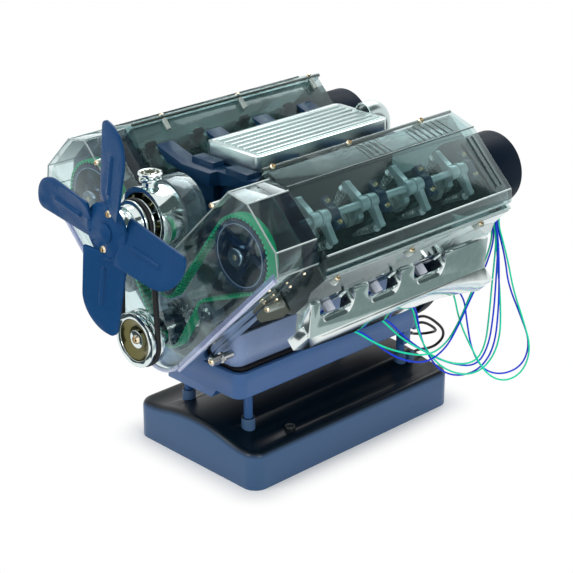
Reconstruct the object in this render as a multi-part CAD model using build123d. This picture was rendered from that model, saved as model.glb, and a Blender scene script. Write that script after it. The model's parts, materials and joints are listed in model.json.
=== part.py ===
from build123d import *
import os
from math import atan, cos, pi, radians, sin, sqrt, tan

# A clear plastic V8 four-stroke engine model on its display stand.
# The origin is the centre of the base's underside, +Z is up and -Y is the fan end.
# The crankshaft lies along Y. Lengths are in millimetres and angles in degrees.

# Driving dimensions of the engine
crank_height = 124.0
bank_angle = 45.0
cylinder_pitch = 50.0
cylinder_count = 4
bank_middle_y = -5.0
bore_radius = 18.0
throw = 10.0
rod_length = 54.0
block_front_y = -106.0
block_rear_y = 96.0
belt_front_y = -137.0
fan_rise = 92.0

# Driving dimensions of the stand
base_width = 140.0
base_length = 226.0
base_height = 32.0
tray_width = 100.0
tray_front_y = -110.0
tray_rear_y = 95.0
sump_drop = 55.0
tray_depth = 22.0

# Clearances shared by every piece
overrun = 2.0
running_gap = 0.06
loose_gap = 0.35
rod_width = 7.4
rod_gap = 0.4

# Heights along a bank, each built up from the crank pins' highest place
small_end_radius = 4.2
crown_thickness = 2.8
deck_clearance = 1.6
roof_rise = 5.0
floor_rise = 13.0
cam_base_radius = 7.0
cam_lift = 3.6
lobe_gap = 0.4
rocker_rise = 22.0
tip_drop = 2.5
joint_rise = 7.0
cover_rise = 14.0

fan_axis_height = crank_height + fan_rise
tray_bottom_z = crank_height - sump_drop
tray_top_z = tray_bottom_z + tray_depth
crown_above_pin = 2 * throw + small_end_radius + crown_thickness + rod_gap
deck_height = rod_length + throw + crown_above_pin + deck_clearance
chamber_roof = deck_height + roof_rise
head_floor = deck_height + floor_rise
cam_height = head_floor + cam_base_radius + cam_lift + lobe_gap
rocker_axis_height = cam_height + rocker_rise
valve_tip_height = rocker_axis_height - tip_drop
cover_joint_height = rocker_axis_height + joint_rise
cover_top_height = cover_joint_height + cover_rise
bank_stagger = (rod_width + rod_gap) / 2
right = 1
left = -1
from_end = (Align.CENTER, Align.CENTER, Align.MIN)

os.makedirs("parts", exist_ok=True)


def slab(xs, ys, zs):
    """A box from its three ranges."""
    size = [high - low for low, high in (xs, ys, zs)]
    middle = [(high + low) / 2 for low, high in (xs, ys, zs)]
    return Pos(*middle) * Box(*size)


def bar(radius, start, end, x=0, z=0):
    """A round bar along Y."""
    return Pos(x, start, z) * (Rot(-90, 0, 0) * Cylinder(radius, end - start, align=from_end))


def post(radius, bottom, top, x=0, y=0):
    """A round post along Z."""
    return Pos(x, y, bottom) * Cylinder(radius, top - bottom, align=from_end)


def bar_along_u(radius, start, end, y, w):
    """A round bar across the bank."""
    return Pos(start, y, w) * (Rot(0, 90, 0) * Cylinder(radius, end - start, align=from_end))


def face_of(points):
    """A flat face inside straight lines through the points."""
    return make_face(Polyline(*points, close=True))


def along(outline, start, end):
    """Extrudes an outline of X and Z from one Y to another."""
    placed = Pos(0, start, 0) * (Rot(90, 0, 0) * outline)
    return extrude(placed, amount=end - start, dir=(0, 1, 0))


def disc(radius, x=0, z=0):
    """A round face at X and Z."""
    return Pos(x, z) * Circle(radius)


def world(u, w):
    """X and Z of a point of the right bank, from its offset and its height along the bank."""
    return (w + u) / sqrt(2), crank_height + (w - u) / sqrt(2)


def in_bank(part, side):
    """Stands a part drawn about the crank axis with Z along the bank in its bank."""
    placed = Pos(0, 0, crank_height) * Rot(0, bank_angle, 0) * part
    return placed if side == right else mirror(placed, about=Plane.YZ)


def cylinder_y(number, side):
    """Y of a cylinder, numbered from the front."""
    pin = bank_middle_y + (number - (cylinder_count - 1) / 2) * cylinder_pitch
    return pin + side * bank_stagger


def pin_y(number):
    """Y of a crank pin's middle."""
    return bank_middle_y + (number - (cylinder_count - 1) / 2) * cylinder_pitch


def write(name, *pieces):
    """Writes one node, a solid or a group of separate solids."""
    solids = [solid for piece in pieces for solid in piece.solids()]
    export_step(solids[0] if len(solids) == 1 else Compound(solids), f"parts/{name}.step")


cylinders = range(cylinder_count)
sides = (right, left)

# Base: a hollow moulded box with a crowned top and four bosses, closed underneath by a plate
base_corner = 12.0
base_edge = 6.0
base_crown = 7.0
crown_flat = 12.0
crown_bend = 20.0
base_wall = 2.6
base_plate = 3.0
leg_x = 35.0
leg_y = 87.0
leg_radius = 3.6
boss_radius = 5.4
boss_height = 12.0
boss_seat = 4.0
button_inset = 15.5
button_setback = 52.3
button_radius = 4.0
button_rise = 2.6
button_travel = 1.5
button_collar = 1.4
button_collar_height = 2.0

button_x = base_width / 2 - button_inset
button_y = button_setback - base_length / 2


def base_form(inset):
    """The base's form with its crowned top, drawn inwards by the inset."""
    half_width = base_width / 2 - inset
    half_length = base_length / 2 - inset
    top = base_height - inset
    crown_half = base_width / 2 - crown_flat
    steepness = base_crown / crown_half
    bend_radius = crown_bend / sin(2 * atan(steepness))
    shoulder = (crown_half - crown_bend, top + crown_bend * steepness)
    bend = (crown_half - crown_bend / 2, top + bend_radius - sqrt(bend_radius ** 2 - crown_bend ** 2 / 4))
    edges = [Line((-half_width, 0), (half_width, 0)), Line((half_width, 0), (half_width, top)),
             Line((half_width, top), (crown_half, top)), ThreePointArc((crown_half, top), bend, shoulder),
             ThreePointArc(shoulder, (0, top + base_crown), (-shoulder[0], shoulder[1])),
             ThreePointArc((-shoulder[0], shoulder[1]), (-bend[0], bend[1]), (-crown_half, top)),
             Line((-crown_half, top), (-half_width, top)), Line((-half_width, top), (-half_width, 0))]
    plan = RectangleRounded(2 * half_width, 2 * half_length, base_corner - inset)
    form = along(make_face(edges), -half_length, half_length) & extrude(plan, 2 * base_height)
    rim = [edge for edge in form.edges() if edge.center().Z > top - base_wall / 2
           and (abs(edge.center().X) > half_width - crown_flat / 2 or abs(edge.center().Y) > half_length - crown_flat / 2)]
    if inset:
        return chamfer(rim, base_edge - inset)
    return fillet(rim, base_edge)


base_shell = base_form(0) - base_form(base_wall)
boss_floor = base_height - base_wall
for x in (-leg_x, leg_x):
    for y in (-leg_y, leg_y):
        base_shell += post(boss_radius, boss_floor, base_height + boss_height, x, y)
        base_shell -= post(leg_radius + loose_gap, base_height + boss_seat,
                           base_height + boss_height + overrun, x, y)
base_shell -= post(button_radius + loose_gap, boss_floor - overrun, base_height + overrun, button_x, button_y)
lug_x = 38.0
lug_half = 4.0
lug_rear_y = 97.0
base_shell += slab((lug_x - lug_half, lug_x + lug_half), (leg_y + leg_radius + loose_gap, lug_rear_y),
                   (boss_floor, base_height + boss_height))
write("base_shell", base_shell)

plate_inset = base_wall + loose_gap
base_cover = extrude(RectangleRounded(base_width - 2 * plate_inset, base_length - 2 * plate_inset,
                                      base_corner - plate_inset), base_plate)
write("base_cover", base_cover)

button_top = base_height + button_rise
button_collar_top = boss_floor - loose_gap
start_button = post(button_radius, button_collar_top, button_top, button_x, button_y)
start_button = chamfer(start_button.faces().sort_by(Axis.Z)[-1].edges(), button_collar / 2)
start_button += post(button_radius + button_collar, button_collar_top - button_collar_height,
                     button_collar_top, button_x, button_y)
write("start_button", start_button)

# Battery pack: three cells in an open tray, beside the board that carries the switch
cell_radius = 7.2
cell_length = 50.5
cell_nub_radius = 2.7
cell_nub = 1.2
cell_pitch = 16.0
tray_wall = 1.6
cell_count = 3
pack_y = 24.0
board_width = 26.0
board_length = 60.0
board_thickness = 1.6
switch_side = 7.0

pack_half = cell_pitch * cell_count / 2 + tray_wall
pack_depth = cell_length / 2 + tray_wall + loose_gap
cell_z = base_plate + tray_wall + cell_radius
battery_pack = slab((-pack_half, pack_half), (pack_y - pack_depth, pack_y + pack_depth), (base_plate, cell_z))
battery_pack -= slab((-pack_half + tray_wall, pack_half - tray_wall),
                     (pack_y - pack_depth + tray_wall, pack_y + pack_depth - tray_wall),
                     (base_plate + tray_wall, cell_z + overrun))
cells = []
for number in range(cell_count):
    x = (number - (cell_count - 1) / 2) * cell_pitch
    cell = bar(cell_radius, pack_y - cell_length / 2, pack_y + cell_length / 2 - cell_nub, x, cell_z)
    cells.append(cell + bar(cell_nub_radius, pack_y, pack_y + cell_length / 2, x, cell_z))
board_x = button_x - board_width / 4
switch_top = button_collar_top - button_collar_height - button_travel - loose_gap
board = slab((board_x - board_width / 2, board_x + board_width / 2),
             (button_y - board_length / 4, button_y + board_length * 3 / 4),
             (base_plate, base_plate + board_thickness))
board += slab((button_x - switch_side / 2, button_x + switch_side / 2),
              (button_y - switch_side / 2, button_y + switch_side / 2),
              (base_plate, switch_top))
write("battery_pack", battery_pack, *cells, board)

# Sump tray: the blue lower half of the sump, deeper at the front, on four moulded legs
tray_corner = 10.0
tray_wall_thickness = 3.0
tray_step = 0.8
tray_lip = 11.0
well_right_x = 15.0
well_rear_y = -52.0
well_depth = 8.0
well_slope = 7.0
well_inset = 3.0
tray_edge = 2.0

tray_step_z = tray_top_z - tray_lip
tray_middle_y = (tray_front_y + tray_rear_y) / 2
tray_length = tray_rear_y - tray_front_y
tray_floor = tray_bottom_z + tray_wall_thickness
tray_body = Pos(0, tray_middle_y, tray_bottom_z) * extrude(
    RectangleRounded(tray_width - 2 * tray_step, tray_length - 2 * tray_step, tray_corner - tray_step),
    tray_step_z - tray_bottom_z)
tray_body = fillet(tray_body.faces().sort_by(Axis.Z)[0].edges(), tray_edge)
tray_body += Pos(0, tray_middle_y, tray_step_z) * extrude(
    RectangleRounded(tray_width, tray_length, tray_corner), tray_top_z - tray_step_z)
tray_left_x = tray_step - tray_width / 2
tray_anchor = tray_floor - tray_wall_thickness / 2
well_left_x = tray_left_x + well_inset
well_bottom = tray_bottom_z - well_depth
well_outline = [(well_left_x, tray_anchor), (well_left_x, tray_bottom_z),
                (well_left_x + well_slope, well_bottom), (well_right_x, well_bottom),
                (well_right_x + well_slope, tray_anchor)]
tray_body += along(face_of(well_outline), tray_front_y + tray_corner, well_rear_y)
front_left_x = well_left_x + well_slope + well_inset
front_outline = [(front_left_x, tray_anchor), (front_left_x, well_bottom),
                 (well_right_x, well_bottom), (well_right_x + well_slope, tray_anchor)]
tray_body += along(face_of(front_outline), tray_front_y + well_inset, tray_front_y + tray_corner)
inside_width = tray_width - 2 * (tray_step + tray_wall_thickness)
inside_length = tray_length - 2 * (tray_step + tray_wall_thickness)
tray_body -= Pos(0, tray_middle_y, tray_floor) * extrude(
    RectangleRounded(inside_width, inside_length, tray_corner - tray_wall_thickness), tray_top_z)
tray_body -= slab((tray_left_x + tray_wall_thickness + well_slope, well_right_x - tray_wall_thickness),
                  (tray_front_y + tray_corner, well_rear_y - tray_wall_thickness),
                  (well_bottom + tray_wall_thickness, tray_floor + overrun))
for x in (-leg_x, leg_x):
    for y in (-leg_y, leg_y):
        tray_body += post(leg_radius, base_height + boss_seat, tray_anchor, x, y)
socket_rear_y = 91.6
socket_drop = 16.0
grommet_x = 43.0
grommet_half = 3.0
grommet_rear_y = 95.6
grommet_drop = 3.5
grommet_rise = 8.0
tray_body += slab((lug_x - lug_half, lug_x + lug_half), (leg_y - lug_half, socket_rear_y),
                  (tray_bottom_z - socket_drop, tray_anchor))
tray_body += slab((grommet_x - grommet_half, grommet_x + grommet_half),
                  (socket_rear_y, grommet_rear_y), (tray_bottom_z - grommet_drop, tray_bottom_z + grommet_rise))
write("sump_tray", tray_body)

# Gasket and pan: the black joint and the grey-violet upper half of the sump
gasket_height = 2.4
gasket_inset = 4.5
pan_half_width = 42.0
pan_corner = 8.0
pan_wall = 3.0
pan_top_z = crank_height - pan_wall
pan_inset = 1.0
pan_front_y = block_front_y + pan_inset
pan_rear_y = block_rear_y - pan_inset
pan_bottom_z = tray_top_z + gasket_height


def frame_ring(half_width, front, rear, corner, wall, bottom, top):
    """A rounded rectangular wall, open above and below."""
    length = rear - front
    ring = RectangleRounded(2 * half_width, length, corner)
    ring -= RectangleRounded(2 * (half_width - wall), length - 2 * wall, corner - wall)
    return Pos(0, (front + rear) / 2, bottom) * extrude(ring, top - bottom)


gasket_half_width = tray_width / 2 - gasket_inset
sump_gasket = frame_ring(gasket_half_width, tray_front_y + gasket_inset, tray_rear_y - gasket_inset / 2,
                         tray_corner - overrun, gasket_half_width - pan_half_width + pan_wall,
                         tray_top_z, pan_bottom_z)
write("sump_gasket", sump_gasket)

main_cap_radius = 15.0
sump_pan = frame_ring(pan_half_width, pan_front_y, pan_rear_y, pan_corner, pan_wall, pan_bottom_z, pan_top_z)
sump_pan -= bar(main_cap_radius, block_front_y - overrun, block_rear_y + overrun, 0, crank_height)
write("sump_pan", sump_pan)

# Engine block: two banks of bores over an open crankcase, with five main bearings
block_bottom_x = 44.0
block_skirt_x = 46.0
skirt_rise = 7.0
bank_half_thickness = 27.0
valley_half_width = 15.0
bulkhead = 12.0
crankcase_radius = 25.0
main_radius = 7.0
liner_start = 12.0

valley_z = crank_height + bank_half_thickness * sqrt(2) + valley_half_width
deck_out = world(bank_half_thickness, deck_height)
deck_in = world(-bank_half_thickness, deck_height)
half_outline = [(block_bottom_x, pan_top_z), (block_skirt_x, crank_height + skirt_rise), deck_out, deck_in,
                (valley_half_width, valley_z)]
mirrored_outline = [(-x, z) for x, z in reversed(half_outline)]
block = along(face_of(half_outline + mirrored_outline), block_front_y, block_rear_y)
mains = [bank_middle_y + (number - cylinder_count / 2) * cylinder_pitch for number in range(cylinder_count + 1)]
for number in cylinders:
    block -= bar(crankcase_radius, pin_y(number) - (cylinder_pitch - bulkhead) / 2,
                 pin_y(number) + (cylinder_pitch - bulkhead) / 2, 0, crank_height)
    for side in sides:
        bore = post(bore_radius, liner_start, deck_height + overrun, 0, cylinder_y(number, side))
        block -= in_bank(bore, side)
main_start = {y: max(y - bulkhead / 2, block_front_y) for y in mains}
main_end = {y: min(y + bulkhead / 2, block_rear_y) for y in mains}
for y in mains:
    block += bar(main_cap_radius, main_start[y], main_end[y], 0, crank_height)

# Timing case: the plate and rim across both banks at the front of the block
case_front_y = -121.0
case_plate = 4.0
case_wall = 2.5
arm_in = 36.0
arm_out = 34.0
arm_rise = 1.0
shoulder_rise = 4.0
arm_top_in = 20.0
arm_top_out = 20.0
case_low_radius = 31.0
case_valley_rise = 62.0
case_valley_z = crank_height + case_valley_rise
arm_top = cover_top_height + arm_rise
arm_shoulder = cover_joint_height + shoulder_rise


def case_outline(inset):
    """The outline of the timing case, drawn inwards by the inset."""
    arm = [world(inset - arm_in, 0), world(inset - arm_in, arm_shoulder),
           world(-arm_top_in, arm_top - inset), world(arm_top_out, arm_top - inset),
           world(arm_out - inset, arm_shoulder), world(arm_out - inset, 0)]
    right_arm = face_of(arm)
    left_arm = face_of([(-x, z) for x, z in reversed(arm)])
    valley_x = case_valley_z - crank_height - arm_in * sqrt(2)
    bridge = face_of([(-valley_x - inset, case_valley_z - inset), (valley_x + inset, case_valley_z - inset),
                      (0, crank_height)])
    return right_arm + left_arm + bridge + disc(case_low_radius - inset, 0, crank_height)


def cam_points():
    """X and Z of the two camshafts."""
    return [world(0, cam_height), (-world(0, cam_height)[0], world(0, cam_height)[1])]


cam_radius = 5.0
cam_clear_radius = 8.0
ear_drop = 31.0
ear_slope = 4.0
ear_out = 36.0
ear_flare = 9.0
ear_thickness = 7.0
block += along(case_outline(0), case_front_y, block_front_y)
block -= along(case_outline(case_wall), case_front_y - overrun, block_front_y - case_plate)
for x, z in cam_points():
    block -= bar(cam_clear_radius, block_front_y - case_plate - overrun, block_front_y + overrun, x, z)
block -= bar(main_radius + running_gap, case_front_y, block_rear_y + overrun, 0, crank_height)
ear_low = deck_height - ear_drop
ear_outline = [(bank_half_thickness, ear_low), (ear_out, ear_low + ear_slope),
               (ear_out + ear_flare, deck_height), (bank_half_thickness, deck_height)]
ear = along(face_of(ear_outline), block_front_y, block_front_y + ear_thickness)
for side in sides:
    block += in_bank(ear, side)
write("engine_block", block)

# Cylinder heads: clear housings with valve seats, cam pedestals and an open top
head_in = 42.0
head_out = 46.0
port_out = 50.0
port_low_rise = 6.0
port_high_rise = 25.0
port_blend = 8.0
head_wall = 3.0
chamber_radius = 17.0
pedestal_offset = 13.0
pedestal_length = 8.0
pedestal_half_width = 9.0
head_rear_y = block_rear_y
rocker_shaft_radius = 3.2
valve_tilt = 15.0
valve_tip_reach = 19.0
valve_head_radius = 6.5
valve_head_thickness = 1.8
valve_stem_radius = 1.5
valve_offset_y = 4.6
seat_clearance = 0.5
rocker_tip_radius = 2.6
plug_nose_radius = 2.8
plug_rise = 9.4
plug_inner_u = 18.0
port_low = deck_height + port_low_rise
port_high = deck_height + port_high_rise
plug_height = deck_height + plug_rise

inlet = -1
exhaust = 1


def on_valve(part, kind, y):
    """Stands a part drawn upwards from the rocker's tip along the tilted valve stem."""
    return Pos(kind * valve_tip_reach, y, valve_tip_height) * Rot(0, kind * valve_tilt, 0) * part


def valve_y(number, side, kind):
    """Y of a valve."""
    return cylinder_y(number, side) + kind * valve_offset_y


valve_length = (valve_tip_height - chamber_roof + overrun) / cos(radians(valve_tilt))
valve_top = -rocker_tip_radius - loose_gap
valve_head_low = -valve_length
pedestals = {side: [cylinder_y(number, side) + pedestal_offset for number in cylinders] for side in sides}


def cylinder_head(side):
    """One head, drawn with Z along the bank."""
    section = [(-head_in, deck_height), (head_out, deck_height), (port_out, port_low), (port_out, port_high),
               (head_out, port_high + port_blend), (head_out, cover_joint_height),
               (-head_in, cover_joint_height)]
    head = along(face_of(section), block_front_y, head_rear_y)
    head -= slab((head_wall - head_in, head_out - head_wall),
                 (block_front_y + head_wall, head_rear_y - head_wall),
                 (head_floor, cover_joint_height + overrun))
    for y in pedestals[side]:
        head += slab((-pedestal_half_width, pedestal_half_width),
                     (y - pedestal_length / 2, min(y + pedestal_length / 2, head_rear_y)),
                     (head_floor - overrun, rocker_axis_height))
    for number in cylinders:
        y = cylinder_y(number, side)
        head -= post(chamber_radius, deck_height - overrun, chamber_roof, 0, y)
        head -= bar_along_u(plug_nose_radius, plug_inner_u, port_out + overrun, y, plug_height)
        for kind in (inlet, exhaust):
            guide = post(valve_stem_radius + running_gap, valve_head_low - overrun, valve_top)
            pocket_top = valve_head_low + valve_head_thickness + seat_clearance
            pocket = post(valve_head_radius + seat_clearance, valve_head_low - 2 * overrun, pocket_top)
            head -= on_valve(guide + pocket, kind, valve_y(number, side, kind))
    head -= bar(cam_radius + running_gap, block_front_y - overrun, head_rear_y - head_wall, 0, cam_height)
    head -= bar(rocker_shaft_radius, block_front_y + head_wall, head_rear_y - head_wall, 0, rocker_axis_height)
    return head


names = {right: "right", left: "left"}
for side in sides:
    write(f"cylinder_head_{names[side]}", in_bank(cylinder_head(side), side))

# Rocker shafts and the dark caps that clamp them to the pedestals
cap_rise = 5.0
cap_half_width = 13.0
cap_round = 7.0
cap_top = rocker_axis_height + cap_rise
shaft_front_y = block_front_y + head_wall + overrun
shaft_rear_y = head_rear_y - head_wall - overrun
shafts = []
caps = []
for side in sides:
    shafts.append(in_bank(bar(rocker_shaft_radius, shaft_front_y, shaft_rear_y, 0, rocker_axis_height), side))
    for y in pedestals[side]:
        front = y - pedestal_length / 2
        rear = min(y + pedestal_length / 2, head_rear_y - head_wall)
        cap = slab((-cap_half_width, cap_half_width), (front, rear), (rocker_axis_height, cap_top))
        dome = bar(cap_round, front, rear, 0, rocker_axis_height)
        dome -= slab((-cap_half_width, cap_half_width), (y - pedestal_length, y + pedestal_length),
                     (rocker_axis_height - cap_half_width, rocker_axis_height))
        cap += dome
        cap -= bar(rocker_shaft_radius, y - pedestal_length, y + pedestal_length, 0, rocker_axis_height)
        caps.append(in_bank(cap, side))
write("rocker_shafts", *shafts)
write("rocker_caps", *caps)

# Rocker covers: clear lids with a chamfered inner side and a flange
cover_front_y = block_front_y
cover_rear_y = block_rear_y
cover_wall = 2.2
cover_flange = 3.0
cover_flange_half = 46.0
cover_in = 44.0
cover_in_rise = 3.0
cover_face_in = 23.0
cover_face_out = 34.0
cover_out = 42.0
cover_out_rise = 7.0
cover_in_height = cover_joint_height + cover_in_rise
cover_out_height = cover_joint_height + cover_out_rise


def cover_outline(inset, bottom):
    """The section of a rocker cover, drawn inwards by the inset."""
    return face_of([(inset - cover_in, bottom), (inset - cover_in, cover_in_height),
                    (inset / 2 - cover_face_in, cover_top_height - inset),
                    (cover_face_out - inset / 2, cover_top_height - inset),
                    (cover_out - inset, cover_out_height), (cover_out - inset, bottom)])


rocker_cover = along(cover_outline(0, cover_joint_height), cover_front_y, cover_rear_y)
rocker_cover += slab((-cover_flange_half, cover_flange_half), (cover_front_y, cover_rear_y),
                     (cover_joint_height, cover_joint_height + cover_flange))
rocker_cover -= along(cover_outline(cover_wall, cover_joint_height - overrun),
                      cover_front_y + cover_wall, cover_rear_y - cover_wall)
for side in sides:
    write(f"rocker_cover_{names[side]}", in_bank(rocker_cover, side))

# Valves and rockers: each kind of each bank is one group, which opens together
rocker_hub_radius = 6.2
rocker_width = 8.2
rocker_arm_root = 9.0
rocker_arm_tip = 4.4
rocker_web = 5.0
pad_reach = 6.0
pad_radius = 2.5
pad_gap = 0.3
collar_radius = 4.2
collar_thickness = 1.6
collar_drop = 2.4
pad_height = cam_height + cam_base_radius + cam_lift + pad_radius + pad_gap


def valve(kind, y):
    """A stem with its head and spring collar."""
    stem = post(valve_stem_radius, valve_head_low, valve_top)
    stem += post(valve_head_radius, valve_head_low, valve_head_low + valve_head_thickness)
    stem += post(collar_radius, valve_top - collar_drop - collar_thickness, valve_top - collar_drop)
    return on_valve(stem, kind, y)


def rocker(kind, y):
    """A rocker with its arm over the valve and its foot over the cam."""
    hub = bar(rocker_hub_radius, y - rocker_width / 2, y + rocker_width / 2, 0, rocker_axis_height)
    tip_x = kind * valve_tip_reach
    arm = face_of([(0, rocker_axis_height + rocker_arm_root / 2),
                   (tip_x, valve_tip_height + rocker_arm_tip / 2),
                   (tip_x, valve_tip_height - rocker_arm_tip / 2),
                   (0, rocker_axis_height - rocker_arm_root / 2)])
    arm += disc(rocker_tip_radius, tip_x, valve_tip_height)
    foot_x = -kind * pad_reach
    arm += face_of([(0, rocker_axis_height), (foot_x - kind * pad_radius, pad_height),
                    (foot_x + kind * pad_radius, pad_height), (kind * pad_radius, rocker_axis_height)])
    arm += disc(pad_radius, foot_x, pad_height)
    body = hub + along(arm, y - rocker_web / 2, y + rocker_web / 2)
    bore = bar(rocker_shaft_radius + running_gap, y - rocker_width, y + rocker_width, 0, rocker_axis_height)
    return body - bore


kinds = {inlet: "inlet", exhaust: "exhaust"}
for side in sides:
    for kind in kinds:
        valves = [in_bank(valve(kind, valve_y(number, side, kind)), side) for number in cylinders]
        rockers = [in_bank(rocker(kind, valve_y(number, side, kind)), side) for number in cylinders]
        write(f"{kinds[kind]}_valves_{names[side]}", *valves)
        write(f"{kinds[kind]}_rockers_{names[side]}", *rockers)

# Crankshaft: four throws in one plane, turning in the five main bearings
crank_pin_radius = 6.0
pin_half = (2 * rod_width + rod_gap) / 2 + loose_gap
web_thickness = 6.0
web_radius = 9.0
weight_radius = 20.0
weight_drop = 4.0
snout_radius = 6.0
snout_front_y = -166.0
crank_rear_y = 118.0
throw_side_shares = [1, -1, -1, 1]
crank_rest_angle = bank_angle


def pin_place(number):
    """X and Z of a crank pin at rest."""
    reach = throw * throw_side_shares[number]
    return reach * sin(radians(crank_rest_angle)), crank_height + reach * cos(radians(crank_rest_angle))


crankshaft = bar(main_radius, mains[0] - bulkhead / 2, crank_rear_y, 0, crank_height)
crankshaft += bar(snout_radius, snout_front_y, mains[0], 0, crank_height)
for number in cylinders:
    x, z = pin_place(number)
    middle = pin_y(number)
    weight_x = -x * weight_drop / throw
    weight_z = crank_height - (z - crank_height) * weight_drop / throw
    crankshaft -= bar(weight_radius, middle - pin_half, middle + pin_half, 0, crank_height)
    crankshaft += bar(crank_pin_radius, middle - pin_half - web_thickness / 2,
                      middle + pin_half + web_thickness / 2, x, z)
    web = make_hull((disc(web_radius, x, z) + disc(weight_radius - weight_drop, weight_x, weight_z)).edges())
    crankshaft += along(web, middle - pin_half - web_thickness, middle - pin_half)
    crankshaft += along(web, middle + pin_half, middle + pin_half + web_thickness)
write("crankshaft", crankshaft)

# Connecting rods: two on each pin, and the throws that share a side turn as one group
rod_bolt_radius = 9.0
shank_half = 3.4
shank_thickness = 5.0
wrist_pin_radius = 2.4
wrist_pin_half = 6.5
rod_groups = {"outer": [0, 3], "inner": [1, 2]}


def connecting_rod(number, side):
    """A rod parallel to its bank, from the crank pin to its wrist pin."""
    x, z = pin_place(number)
    u = (side * x - (z - crank_height)) / sqrt(2)
    w = (side * x + (z - crank_height)) / sqrt(2)
    y = cylinder_y(number, side)
    start = y - rod_width / 2
    rod = bar(rod_bolt_radius, start, start + rod_width, u, w)
    rod += bar(small_end_radius, start, start + rod_width, u, w + rod_length)
    rod += slab((u - shank_half, u + shank_half), (y - shank_thickness / 2, y + shank_thickness / 2),
                (w, w + rod_length))
    rod -= bar(crank_pin_radius + running_gap, start - overrun, start + rod_width + overrun, u, w)
    rod += bar(wrist_pin_radius, y - wrist_pin_half, y + wrist_pin_half, u, w + rod_length)
    return in_bank(rod, side)


for group, numbers in rod_groups.items():
    write(f"connecting_rods_{group}", *[connecting_rod(number, side) for number in numbers for side in sides])

# Pistons: hollow cups, and the two of a bank that rise together are one group
piston_radius = 17.5
piston_wall = 2.0
skirt_below_pin = 6.5
boss_start = 9.0
boss_width = 8.0


def piston(number, side):
    """A cup whose crown stands above the wrist pin by its full travel."""
    x, z = pin_place(number)
    pin_w = rod_length + (side * x + (z - crank_height)) / sqrt(2)
    top = pin_w + crown_above_pin
    y = cylinder_y(number, side)
    cup = post(piston_radius, pin_w - skirt_below_pin, top, 0, y)
    cup -= post(piston_radius - piston_wall, pin_w - skirt_below_pin - overrun, top - crown_thickness, 0, y)
    for direction in (1, -1):
        ear = slab((-boss_width / 2, boss_width / 2), (boss_start, piston_radius - piston_wall / 2),
                   (pin_w - boss_width / 2, pin_w + boss_width / 2))
        cup += Pos(0, y, 0) * (ear if direction > 0 else mirror(ear, about=Plane.XZ))
    return in_bank(cup, side)


for side in sides:
    for group, numbers in rod_groups.items():
        write(f"pistons_{names[side]}_{group}", *[piston(number, side) for number in numbers])

# Camshafts: one in each head, with a nose for every valve
cam_nose_radius = 3.4
lobe_width = 6.0
cam_setback = 6.0
cam_front_y = belt_front_y + cam_setback
lobe_phase_shares = {right: [0, 3, 1, 2], left: [1, 0, 2, 3]}
lobe_spread = 55.0


def camshaft(side):
    """A shaft with eight lobes, drawn with Z along the bank."""
    rear = pedestals[side][-1] + pedestal_length / 2
    shaft = bar(cam_radius, cam_front_y, min(rear, head_rear_y - head_wall - loose_gap), 0, cam_height)
    for number in cylinders:
        for kind in kinds:
            angle = radians(lobe_phase_shares[side][number] * 360 / cylinder_count + kind * lobe_spread)
            reach = cam_base_radius + cam_lift - cam_nose_radius
            nose = disc(cam_nose_radius, reach * sin(angle), cam_height + reach * cos(angle))
            lobe = make_hull((disc(cam_base_radius, 0, cam_height) + nose).edges())
            y = valve_y(number, side, kind)
            shaft += along(lobe, y - lobe_width / 2, y + lobe_width / 2)
    return shaft


for side in sides:
    write(f"camshaft_{names[side]}", in_bank(camshaft(side), side))

# Toothed sprockets and idlers in the plane of the timing belt
belt_width = 9.0
belt_thickness = 1.2
belt_tooth = 1.2
cam_teeth = 44
cam_tip_radius = 27.0
crank_teeth = cam_teeth // 2
tooth_depth = 1.3
rim_thickness = 2.4
sprocket_web = 2.6
spoke_half = 2.6
hub_radius = 6.5
sprocket_clear = 0.5
case_cover_front_y = -146.0
case_cover_wall = 2.5
hub_front_y = case_cover_front_y + case_cover_wall + 2 * loose_gap
belt_rear_y = belt_front_y + belt_width
tooth_pitch = 2 * pi * cam_tip_radius / cam_teeth
crank_tip_radius = cam_tip_radius / 2
idler_radius = 9.5
idler_u_x = 46.0
idler_rise = 25.0
middle_idler_rise = 37.0
idler_z = crank_height + idler_rise
middle_idler_z = crank_height + middle_idler_rise


def toothed_ring(radius, teeth, depth):
    """A round face with square teeth."""
    ring = disc(radius - depth)
    width = pi * radius / teeth
    tooth = Pos(0, radius - depth) * Rectangle(width, 2 * depth)
    tooth = tooth & Circle(radius)
    for number in range(teeth):
        ring += Rot(0, 0, 360 * number / teeth) * tooth
    return ring


def sprocket(x, z):
    """A four-spoked toothed wheel with a long hub."""
    rim = along(toothed_ring(cam_tip_radius, cam_teeth, tooth_depth), belt_front_y - sprocket_clear,
                belt_rear_y + sprocket_clear)
    rim -= bar(cam_tip_radius - tooth_depth - rim_thickness, belt_front_y - overrun, belt_rear_y + overrun)
    spokes = slab((rim_thickness - cam_tip_radius, cam_tip_radius - rim_thickness),
                  (belt_rear_y - sprocket_web, belt_rear_y), (-spoke_half, spoke_half))
    spokes += Rot(0, 90, 0) * spokes
    wheel = rim + Rot(0, bank_angle / 2, 0) * spokes
    wheel += bar(hub_radius, hub_front_y, belt_rear_y + sprocket_clear)
    wheel -= bar(cam_radius, cam_front_y, belt_rear_y + overrun)
    return Pos(x, 0, z) * wheel


for side, (x, z) in zip(sides, cam_points()):
    write(f"cam_sprocket_{names[side]}", sprocket(x, z))

seal_radius = 11.0
seal_front_y = hub_front_y
crank_sprocket = along(toothed_ring(crank_tip_radius, crank_teeth, tooth_depth), belt_front_y - sprocket_clear,
                       belt_rear_y + sprocket_clear)
crank_sprocket += bar(seal_radius, seal_front_y, belt_front_y)
crank_sprocket -= bar(snout_radius, case_cover_front_y, case_front_y)
write("crank_sprocket", Pos(0, 0, crank_height) * crank_sprocket)

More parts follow.
